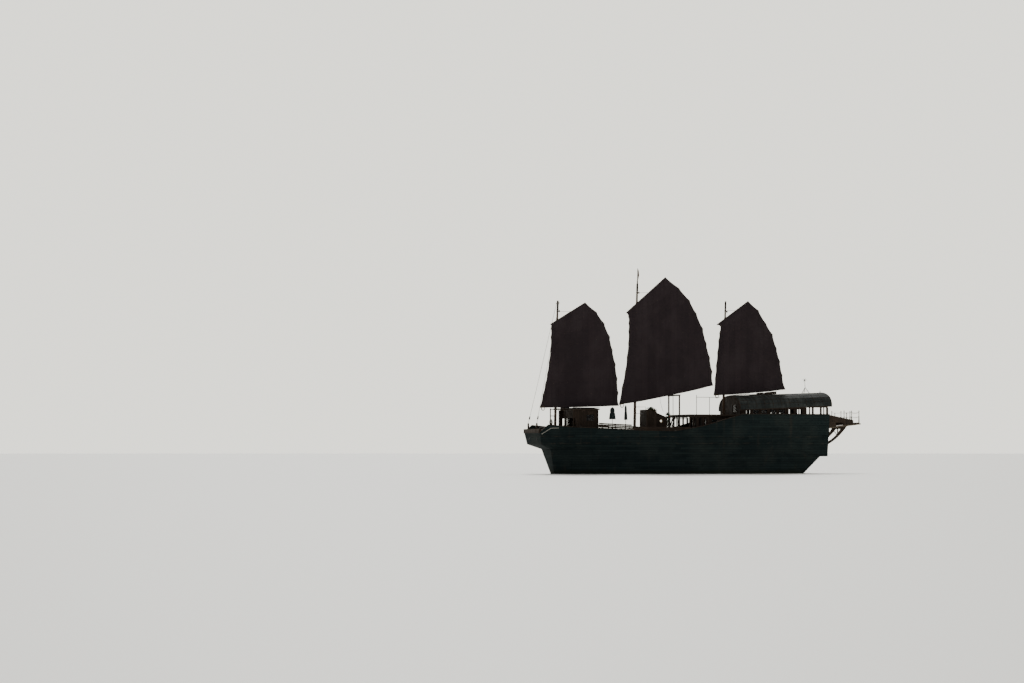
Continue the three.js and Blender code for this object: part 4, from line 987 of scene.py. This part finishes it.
# Parasols, closed and tied, on weighted feet


def parasol(name, x, bottom, top, low, high, pleats, tuck):
    """A closed parasol on its stand: the cloth hangs from top to bottom, with radii high and low there."""
    rib = top - bottom
    shoulder, waist = 0.12, 0.42  # shares of the cloth's length from its top
    bm = bmesh.new()
    bmesh.ops.create_grid(bm, x_segments=pleats * 4, y_segments=16, size=1)
    for v in bm.verts:
        around, down = (v.co.x + 1) / 2, (1 - v.co.y) / 2
        fold = abs(((around * pleats) % 1) * 2 - 1)
        if down < shoulder:
            reach = lerp(0.03, high, down / shoulder)
        else:
            reach = lerp(high, low, ((down - shoulder) / (1 - shoulder)) ** 0.9)
        reach *= 1 - 0.12 * math.exp(-(((down - waist) / 0.07) ** 2))
        inner = tuck + 0.07 * math.sin(around * 2 * math.pi * 3)
        radius = reach * lerp(inner if down > 0.05 else 0.9, 1, fold)
        angle = 2 * math.pi * around + 0.12 * math.sin(down * 3)
        z = top - down * rib + 0.03 * (1 - fold) * down
        v.co = round_point(x, radius, angle, z)
    bmesh.ops.remove_doubles(bm, verts=bm.verts, dist=0.0005)
    bmesh.ops.recalc_face_normals(bm, faces=bm.faces)
    bmesh.ops.solidify(bm, geom=bm.faces[:], thickness=0.003)
    cloth = piece(f"{name}_cloth", bm, PARASOL, "hull", 80, [name])
    stand = turned_part([
        (0, 3.6003), (0.26, 3.6003), (0.262, 3.63), (0.235, 3.672), (0.07, 3.70), (0.045, 3.73),
        (0.045, 3.86), (0.026, 3.87), (0.026, top - 0.02), (0.03, top + 0.005), (0.012, top + 0.03),
        (0, top + 0.032),
    ], 20)
    stamp(stand_bm, stand, placed(x, 0, 0))
    tie = (high + (low - high) * 0.34) * 0.9
    stamp(tie_bm, ring_part(tie, 0.008, 28, 6), placed(x, 0, top - waist * rib))


stand_bm, tie_bm = bmesh.new(), bmesh.new()
parasol("parasol_fore", -6.7, 5.38, 6.60, 0.345, 0.20, 16, 0.68)
parasol("parasol_aft", -5.3, 5.33, 6.79, 0.172, 0.10, 26, 0.42)
piece("parasol_stands", stand_bm, STEEL)
piece("parasol_ties", tie_bm, PALE_ROPE)

# Pennant at the main masthead
pennant_bm = bmesh.new()
bmesh.ops.create_grid(pennant_bm, x_segments=8, y_segments=28, size=1)
for v in pennant_bm.verts:
    out, down = (v.co.x + 1) / 2, (1 - v.co.y) / 2
    width = 0.145 * math.sin(math.pi * min(1, down * 0.92 + 0.08)) ** 0.6
    sway = 0.014 * math.sin(down * 15 + out * 3) * out
    v.co = (-4.021 + width * out, sway, 20.36 - 1.09 * down - 0.02 * out)
bmesh.ops.solidify(pennant_bm, geom=pennant_bm.faces[:], thickness=0.003)
flag = piece("pennant_cloth", pennant_bm, BUNTING, "hull", 60, ["pennant"])

# Bow: pale rubbing boards on the wings, hawse rings, bitts; timberheads inside the bulwarks
RAIL = (  # x, half-breadth and height
    (-15.03, 2.7, 4.1), (-14.2, 2.8, 4.78), (-12.2, 2.98, 4.6), (-9, 3.3, 4.46), (-5, 3.7, 4.26),
    (-1.5, 3.8, 4.2), (1.5, 3.8, 4.7), (5.7, 3.7, 5.9),
)


def rail_at(x):
    """Half-breadth and height of the bulwark's top at x."""
    for (xa, ya, za), (xb, yb, zb) in zip(RAIL, RAIL[1:]):
        if xa <= x <= xb:
            t = (x - xa) / (xb - xa)
            return lerp(ya, yb, t), lerp(za, zb, t)


fore_timbers = [(-14.2 + 0.82 * k, FORE_DECK) for k in range(7)]
waist_timbers = [(-8.1 + 0.85 * k, MAIN_DECK) for k in range(12)]
pale_bm, head_bm, bow_iron = bmesh.new(), bmesh.new(), bmesh.new()
for side in (-1, 1):
    strip = [
        (x, side * (y + 0.012), z)
        for x, y, z in ((-14.87, 2.655, 3.9), (-13.96, 2.80, 4.47), (-13.2, 2.885, 4.50))
    ]
    for a, b in zip(strip, strip[1:]):
        beam(pale_bm, a, b, 0.05, 0.065, 0.006)
    hawse = placed(-14.93, side * 1.25, 3.45) @ Matrix.Rotation(math.radians(99), 4, "Y")
    stamp(bow_iron, flat_ring(0.09, 0.15, 0.05), hawse)
    for x, deck in fore_timbers + waist_timbers:
        y, z = rail_at(x)
        bar(head_bm, (x - 0.04, side * (y - 0.20), deck), (x + 0.04, side * (y - 0.10), z), 0.006)
    for x in (-12.35, -11.95):
        bar(head_bm, (x - 0.08, side * 1.87, FORE_DECK), (x + 0.08, side * 2.03, 4.78), 0.02)
    bar(head_bm, (-12.62, side * 1.9, 4.5), (-11.68, side * 2.0, 4.6), 0.015)
    # cleats on the rail
    for x in (-11.0, -7.9, -2.6):
        y, z = rail_at(x)
        cleat = placed(x, side * (y - 0.02), z + 0.058)
        placed_bar(bow_iron, (-0.13, -0.022, 0.045), (0.13, 0.022, 0.075), 0.01, cleat)
        placed_bar(bow_iron, (-0.04, -0.02, 0), (0.04, 0.02, 0.06), 0.006, cleat)
PALE = timber_finish("pale paint", (0.36, 0.35, 0.31), (0.46, 0.45, 0.40), (1.2, 20, 20), (0.45, 0.7))
piece("bow_rubbing_boards", pale_bm, PALE)
piece("timberheads", head_bm, TRIM_Z)
piece("hawse_rings_and_cleats", bow_iron, IRON)

# Windlass: whelps along the drum and the pawl rim at its middle
whelp_bm, rim_bm = bmesh.new(), bmesh.new()
for k in range(8):
    turn = placed(*WINDLASS) @ Matrix.Rotation(math.pi * k / 4 + 0.2, 4, "Y")
    for side in (-1, 1):
        placed_bar(whelp_bm, (-0.022, side * 0.14, 0.105), (0.022, side * 0.76, 0.138), 0.007, turn)
for y, inner, outer, thick in ((0, 0.11, 0.155, 0.06), (-0.8, 0.112, 0.13, 0.03), (0.8, 0.112, 0.13, 0.03)):
    stamp(rim_bm, flat_ring(inner, outer, thick), placed(*WINDLASS) @ placed(0, y, 0) @ QUARTER["X"])
piece("windlass_whelps", whelp_bm, TRIM_Y, "windlass_drum")
piece("windlass_rims", rim_bm, IRON, "windlass_drum")

# Rudder straps
strap_bm = bmesh.new()
for z in (-1.32, -0.72, -0.12):
    bar(strap_bm, (13.02, -0.07, z - 0.04), (13.98, 0.07, z + 0.04), 0.006)
    for k in range(5):
        rod(strap_bm, (13.3 + 0.15 * k, -0.079, z), (13.3 + 0.15 * k, 0.079, z), 0.014, sides=6)
piece("rudder_straps", strap_bm, IRON, "rudder")

# Ladder to the sun deck, steps up to the fore deck, benches in the waist
step_bm = bmesh.new()
foot, head = Vector((-0.42, 0, MAIN_DECK)), Vector((0.32, 0, 5.74))
for y in (1.05, 1.6):
    beam(step_bm, foot + Vector((0, y, 0)), head + Vector((0, y, 0)), 0.04, 0.13, 0.006)
for k in range(1, 9):
    tread = foot.lerp(head, k / 9)
    bar(step_bm, (tread.x - 0.09, 1.06, tread.z - 0.014), (tread.x + 0.09, 1.59, tread.z + 0.014), 0.004)
for side in (-1, 1):
    for x0, x1, top in ((-8.59, -8.33, 4.0), (-8.59, -8.07, 3.8)):
        bar(step_bm, (x0, side * 2.25, top - 0.035), (x1, side * 2.95, top), 0.008)
        for y in (2.28, 2.92):
            low, high = (x0, side * (y - 0.02), MAIN_DECK), (x1 - 0.03, side * (y + 0.02), top - 0.035)
            bar(step_bm, low, high, 0.005)
    # benches along the waist
    y = side * 3.1
    for slat in (-1, 0, 1):
        middle = y + side * slat * 0.13
        bar(step_bm, (-7.45, middle - 0.055, 4.02), (-4.9, middle + 0.055, 4.05), 0.006)
    for x in (-7.3, -6.18, -5.05):
        bar(step_bm, (x - 0.03, y - 0.17, MAIN_DECK), (x + 0.03, y + 0.17, 4.02), 0.006)
piece("steps_and_benches", step_bm, TRIM_Y)

# Rails of rope on the gallery's posts
# x and top of each pair
GALLERY_POSTS = ((17.48, 6.24), (17.79, 6.04), (18.4, 6.24), (19.3, 6.24))


def gallery_at(x):
    """Half-breadth to the posts and height of the deck on the gallery at x."""
    t = (x - 15.32) / 4.18  # from its front edge to its back edge
    return lerp(2.15, 1.14, t) - 0.06, lerp(4.6, 5.06, t)


def sagging(a, b, sag):
    """Points of a rope that hangs between a and b."""
    points = [Vector(a).lerp(Vector(b), k / 6) for k in range(7)]
    return [v - Vector((0, 0, 4 * sag * (k / 6) * (1 - k / 6))) for k, v in enumerate(points)]


lines, cap_bm = [], bmesh.new()
for drop in (0.08, 0.52):
    corners = []
    for side in (-1, 1):
        ends = [(x, side * gallery_at(x)[0], top - drop) for x, top in GALLERY_POSTS if top > 6.1]
        for a, b in zip(ends, ends[1:]):
            lines.append(sagging(a, b, 0.06))
        corners.append(ends[-1])
    lines.append(sagging(*corners, 0.1))
ropes("gallery_ropes", lines, 0.012, PALE_ROPE, sides=2)
# knobs on the posts and sleeves round their feet
knob = turned_part([
    (0, 0), (0.045, 0), (0.05, 0.02), (0.035, 0.035), (0.048, 0.06), (0.035, 0.09), (0, 0.1),
], 12)
for x, top in GALLERY_POSTS:
    half, low = gallery_at(x)
    for y in (-half, half):
        stamp(cap_bm, knob, placed(x, y, top))
        rod(cap_bm, (x, y, low + 0.06), (x, y, lerp(low, top, 0.62)), 0.062, 0.045, 12)
piece("gallery_post_caps", cap_bm, TRIM_Z)

# Aerial: rods that fan out from the top of its mast, and stays between the legs
aerial_bm = bmesh.new()
hub = Vector((13.86, 0, 9.43))
for k in range(14):
    angle = 2 * math.pi * (k + 0.3) / 14
    tip = hub + Vector((0.30 * math.cos(angle), 0.04 * math.sin(3 * angle), 0.26 * math.sin(angle)))
    rod(aerial_bm, hub, tip, 0.008, 0.004, 5)
legs = [Vector((13.62, -0.10, 8.32)), Vector((14.18, -0.10, 8.32)), Vector((13.9, 0.205, 8.32))]
for a, b in zip(legs, legs[1:] + legs[:1]):
    rod(aerial_bm, a, b, 0.012)
piece("aerial", aerial_bm, STEEL)

# Ties from the mainmast to the companion
ropes("companion_ties", [
    [(-4.22, 0, 5.97), (-3.46, 0, 5.97)], [(-4.2, 0, 6.63), (-3.2, 0, 6.63), (-3.2, 0, 6.35)],
], 0.02, IRON, sides=2)

# Coils at the booms' tacks, a hanging fall, and coils on the decks
for mast in SAILS:
    x, z = SAILS[mast][-1][0]
    coil_bm = bmesh.new()
    for k in range(6):
        part = ring_part(0.17 - 0.008 * (k % 3), 0.016, 22, 6)
        part.transform(Matrix.Scale(1.25, 4, (1, 0, 0)))
        hung = placed(x + 0.24 + 0.012 * (k % 2), -0.335 - 0.016 * k, z - 0.10)
        stamp(coil_bm, part, hung @ QUARTER["Y"] @ QUARTER["X"])
    piece(f"{mast}_tack_coil", coil_bm, PALE_ROPE, f"{mast}_rig", 60)
ropes("main_boom_fall", [
    [(-1.79, -0.245, 7.68), (-1.75, -0.25, 7.2), (-1.60, -0.255, 6.6), (-1.43, -0.255, 6.15)],
], 0.014, ROPE, "main_rig", 2)
coils_bm = bmesh.new()
for x, y, deck in (
    (-11.5, 1.3, FORE_DECK), (-11.6, -2.1, FORE_DECK), (-7.9, 1.2, MAIN_DECK), (-3.0, -2.6, MAIN_DECK),
):
    for k in range(5):
        for radius in (0.14, 0.18, 0.22) if k < 2 else (0.18, 0.22):
            laid = placed(x + 0.006 * (k % 2), y, deck + 0.019 + 0.034 * k)
            stamp(coils_bm, ring_part(radius + 0.004 * k, 0.019, 24, 6), laid)
piece("deck_coils", coils_bm, PALE_ROPE, smooth=60)

# Rope serving round the mastheads, and round the foot of the pole on the mainmast
lines = []
for mast, low, high, pole in (
    ("fore", 16.15, 16.9, False), ("main", 18.15, 18.88, False), ("main", 18.97, 19.24, True),
    ("mizzen", 16.5, 17.1, False),
):
    steps = round((high - low) / 0.029) * 12
    line = []
    for k in range(steps + 1):
        z = lerp(low, high, k / steps)
        x, radius = (lerp(-4.055, -4.025, (z - 18.91) / 1.54), 0.036) if pole else mast_at(mast, z)
        line.append(round_point(x, radius + 0.013, math.pi * k / 6, z))
    lines.append(line)
ropes("masthead_servings", lines, 0.015, ROPE, sides=1)

# Plants: a trough on the companion's roof and potted ones aft of it
leaf_bm, clay_bm, stem_bm = bmesh.new(), bmesh.new(), bmesh.new()
slope = math.atan2(6.36 - 5.63, 3.13 - 1.37)  # of the companion's roof
trough = placed(-2.62, -0.35, 6.155) @ Matrix.Rotation(slope, 4, "Y")
placed_bar(clay_bm, (-0.42, -0.16, -0.005), (0.42, 0.16, 0.15), 0.012, trough)
for x, z, count, long in ((-2.9, 6.4, 46, 0.40), (-2.66, 6.31, 64, 0.44), (-2.42, 6.22, 40, 0.34)):
    leaf_spray(leaf_bm, (x, -0.35, z), count, long, 0.085, (15, 88))
for x, y, top in ((-1.0, -0.25, 5.88), (-1.0, 0.35, 5.2), (-0.72, 1.1, 5.1)):
    pot = turned_part([
        (0, 0), (0.15, 0), (0.16, 0.02), (0.21, 0.36), (0.235, 0.38), (0.235, 0.43), (0.2, 0.43),
        (0.19, 0.40), (0, 0.39),
    ], 24)
    stamp(clay_bm, pot, placed(x, y, MAIN_DECK))
    for k in range(3):
        angle = 2.1 * k + x
        lean_x, lean_y = 0.05 * math.cos(angle), 0.05 * math.sin(angle)
        head = (x + 1.6 * lean_x, y + 1.6 * lean_y, top - 0.36 * k)
        rod(stem_bm, (x + 0.8 * lean_x, y + 0.8 * lean_y, MAIN_DECK + 0.38), head, 0.019, 0.012, 6)
        leaf_spray(leaf_bm, head, 60, 0.36, 0.085, (5, 85))
piece("leaves", leaf_bm, LEAF, smooth=60)
piece("plant_pots", clay_bm, CLAY)
piece("plant_stems", stem_bm, TRIM_Z)

# Fore deckhouse roof: raised edges with battens, and a raft's drum
roof_bm, drum_bm = bmesh.new(), bmesh.new()
for side in (-1, 1):
    bar(roof_bm, (-11.46, side * 1.99, 6.462), (-8.69, side * 2.05, 6.525), 0.008)
for x in [-11.44 + 0.337 * k for k in range(9)]:
    bar(roof_bm, (x, -1.99, 6.466), (x + 0.05, 1.99, 6.495), 0.005)
piece("fore_roof_battens", roof_bm, TRIM_Y)
shell = turned_part([
    (0, -0.47), (0.11, -0.465), (0.135, -0.44), (0.14, -0.30), (0.147, -0.28), (0.14, -0.26), (0.14, -0.02),
    (0.15, -0.015), (0.15, 0.015), (0.14, 0.02), (0.14, 0.26), (0.147, 0.28), (0.14, 0.30), (0.135, 0.44),
    (0.11, 0.465), (0, 0.47),
], 28)
stamp(drum_bm, shell, placed(-11.14, 1.58, 6.645) @ QUARTER["Y"])
for x in (-11.42, -10.86):
    bar(drum_bm, (x - 0.03, 1.44, 6.49), (x + 0.03, 1.72, 6.56), 0.008)
piece("raft_drum", drum_bm, STEEL)

# Deck locker beside the porch: plinth, body, lid and two louvred doors with a knob
locker_bm = bmesh.new()
bar(locker_bm, (-11.71, 1.46, 4.201), (-11.43, 1.89, 4.27), 0.006)
bar(locker_bm, (-11.70, 1.47, 4.26), (-11.44, 1.88, 6.24), 0.01)
bar(locker_bm, (-11.73, 1.44, 6.235), (-11.42, 1.91, 6.285), 0.01)
for low, high in ((4.33, 5.2), (5.26, 6.18)):
    for a, b in ((1.50, 1.56), (1.79, 1.85)):
        bar(locker_bm, (-11.715, a, low), (-11.695, b, high), 0.004)
    for a, b in ((low, low + 0.07), (high - 0.07, high)):
        bar(locker_bm, (-11.715, 1.56, a), (-11.695, 1.79, b), 0.004)
    for k in range(14):
        z = lerp(low + 0.1, high - 0.1, k / 13)
        bar(locker_bm, (-11.71, 1.56, z - 0.012), (-11.697, 1.79, z + 0.012), 0.003)
rod(locker_bm, (-11.72, 1.60, 5.23), (-11.69, 1.60, 5.23), 0.016)
piece("deck_locker", locker_bm, TRIM_Z)


def screen_leaves(bm, a, b, near, far, low, high):
    """Two upright boards side by side in a screen, between a and b along the ship."""
    wide = (b - a) / 2
    for x in (a, a + wide):
        bar(bm, (x + 0.003, near, low), (x + wide - 0.003, far, high), 0.003)


# Screens at the porch's sides
screen_bm = bmesh.new()
for side in (-1, 1):
    for a, b in ((-11.135, -10.905), (-10.715, -10.515)):
        screen_leaves(screen_bm, a, b, side * 1.845, side * 1.823, 4.32, 5.5)
    for z in [4.4 + 0.08 * k for k in range(14)]:
        bar(screen_bm, (-10.91, side * 1.842, z), (-10.71, side * 1.828, z + 0.07), 0.003)
    for x in [lerp(-11.305, -10.51, k / 8) for k in range(8)]:
        bar(screen_bm, (x + 0.003, side * 1.846, 5.5), (x + 0.096, side * 1.824, 6.3), 0.003)
    for z in (4.28, 5.46, 6.24):
        bar(screen_bm, (-11.312, side * 1.858, z), (-10.502, side * 1.812, z + 0.06), 0.005)
piece("porch_screens", screen_bm, TRIM_Z)

# Hank of rope on the mast's bitt, over a belaying pin
hank_bm = bmesh.new()
for k in range(15):
    part = ring_part(0.075 + 0.028 * (k % 3), 0.017, 24, 6)
    part.transform(Matrix.Scale(2.9 - 0.35 * (k % 3), 4, (1, 0, 0)))
    hung = placed(-13.14 + 0.008 * (k % 2), -0.075 - 0.014 * k, 5.10 - 0.02 * (k % 3))
    stamp(hank_bm, part, hung @ QUARTER["X"] @ QUARTER["Z"])
rod(hank_bm, (-13.14, -0.03, 5.33), (-13.14, -0.32, 5.33), 0.02)
piece("bitt_hank", hank_bm, PALE_ROPE, smooth=60)

# Partner beams from the foremast to the porch roof, and chocks on the fore deckhouse
partner_bm = bmesh.new()
for side in (-1, 1):
    bar(partner_bm, (-12.74, side * 0.21 - 0.05, 6.30), (-11.46, side * 0.21 + 0.05, 6.44), 0.012)
for x0, x1 in ((-12.76, -12.64), (-12.34, -12.2)):
    bar(partner_bm, (x0, -0.3, 6.32), (x1, 0.3, 6.42), 0.01)
bar(partner_bm, (-11.52, -0.42, 6.30), (-11.455, 0.42, 6.45), 0.01)
for x0, x1 in ((-9.68, -9.47), (-8.92, -8.73)):
    bar(partner_bm, (x0, -0.7, 6.455), (x1, 0.7, 6.525), 0.01)
piece("mast_partners", partner_bm, TRIM_X)

# Lockers along the barrel roof's ridge: their ends, and how high their lids stand there
ridge_bm = bmesh.new()
for x0, x1, up0, up1 in (
    (5.8, 7.75, 0.033, 0.127), (7.85, 8.6, 0.06, 0.06), (8.68, 9.25, 0.172, 0.2), (9.3, 9.62, 0.15, 0.16),
    (9.66, 10.72, 0.22, 0.27),
):
    z0, z1 = (roof_point(x, math.pi / 2)[2] + 0.012 for x in (x0, x1))
    front, back = (x0 + 0.03, 0, z0 + up0 / 2), (x1 - 0.03, 0, z1 + up1 / 2 - 0.01)
    beam(ridge_bm, front, back, 0.5, min(up0, up1) + 0.01, 0.008)
    beam(ridge_bm, (x0, 0, z0 + up0), (x1, 0, z1 + up1), 0.56, 0.03, 0.008)
    for t in (0.2, 0.8):
        x, z = lerp(x0, x1, t), lerp(z0 + up0, z1 + up1, t) - 0.02
        rod(ridge_bm, (x, -0.3, z), (x, -0.26, z), 0.02)
piece("ridge_lockers", ridge_bm, TRIM_X)

# Screens of the veranda, posts in the stern deckhouse's openings, and the boom gallows' third post
slat_screen_bm = bmesh.new()
for side in (-1, 1):
    for a, b in ((0.71, 0.90), (1.19, 1.40), (1.69, 1.89), (2.13, 2.36)):
        screen_leaves(slat_screen_bm, a, b, side * 2.815, side * 2.835, 3.62, 5.59)
    for z in (3.66, 4.62, 5.5):
        bar(slat_screen_bm, (0.70, side * 2.805, z), (2.37, side * 2.83, z + 0.05), 0.004)
    for a, b in ((13.5, 13.66), (15.0, 15.22)):
        bar(slat_screen_bm, (a, side * 2.79 - 0.05, 5.93), (b, side * 2.79 + 0.05, 6.62), 0.01)
for a, b in ((14.36, 14.45), (14.46, 14.55), (14.74, 14.82)):
    bar(slat_screen_bm, (a, -2.77, 5.95), (b, -2.72, 6.60), 0.006)
bar(slat_screen_bm, (-0.225, 0.27, MAIN_DECK), (-0.175, 0.32, 7.82), 0.01)
piece("veranda_screens", slat_screen_bm, TRIM_Z)

# Floor and light
floor_bm = bmesh.new()
bmesh.ops.create_circle(floor_bm, cap_ends=True, segments=96, radius=1600)
floor_mesh = bpy.data.meshes.new("floor")
floor_bm.to_mesh(floor_mesh)
floor_bm.free()
floor = bpy.data.objects.new("floor", floor_mesh)
bpy.context.collection.objects.link(floor)
pale = Finish("pale floor", Base_Color=(0.80, 0.79, 0.75, 1), Roughness=0.55, Specular_IOR_Level=0.3)
floor_mesh.materials.append(pale.material)

# The sky is bright beyond the ship's starboard quarter and dim on the camera's side
world = bpy.data.worlds.new("soft light")
bpy.context.scene.world = world
world.use_nodes = True
sky = world.node_tree.nodes
way = sky.new("ShaderNodeTexCoord")
toward = sky.new("ShaderNodeVectorMath")
toward.operation = "DOT_PRODUCT"
toward.inputs[1].default_value = (0.70, 0.714, 0)
ramp = sky.new("ShaderNodeMapRange")
ramp.interpolation_type = "SMOOTHSTEP"
ramp.inputs["From Min"].default_value, ramp.inputs["From Max"].default_value = -0.05, 0.8
tint = sky.new("ShaderNodeMix")
tint.data_type = "RGBA"
tint.inputs[6].default_value = (0.17, 0.18, 0.19, 1)
tint.inputs[7].default_value = (1.75, 1.72, 1.55, 1)
for a, b in (
    (way.outputs["Generated"], toward.inputs[0]), (toward.outputs["Value"], ramp.inputs["Value"]),
    (ramp.outputs["Result"], tint.inputs[0]), (tint.outputs[2], sky["Background"].inputs[0]),
):
    world.node_tree.links.new(a, b)
for name, turn, energy, spread in (("key", (50, 0, 165), 2.6, 18), ("fill", (64, 0, -8), 0.35, 50)):
    lamp = bpy.data.objects.new(name, bpy.data.lights.new(name, "SUN"))
    lamp.data.energy = energy
    lamp.data.angle = math.radians(spread)
    lamp.rotation_euler = [math.radians(a) for a in turn]
    bpy.context.collection.objects.link(lamp)
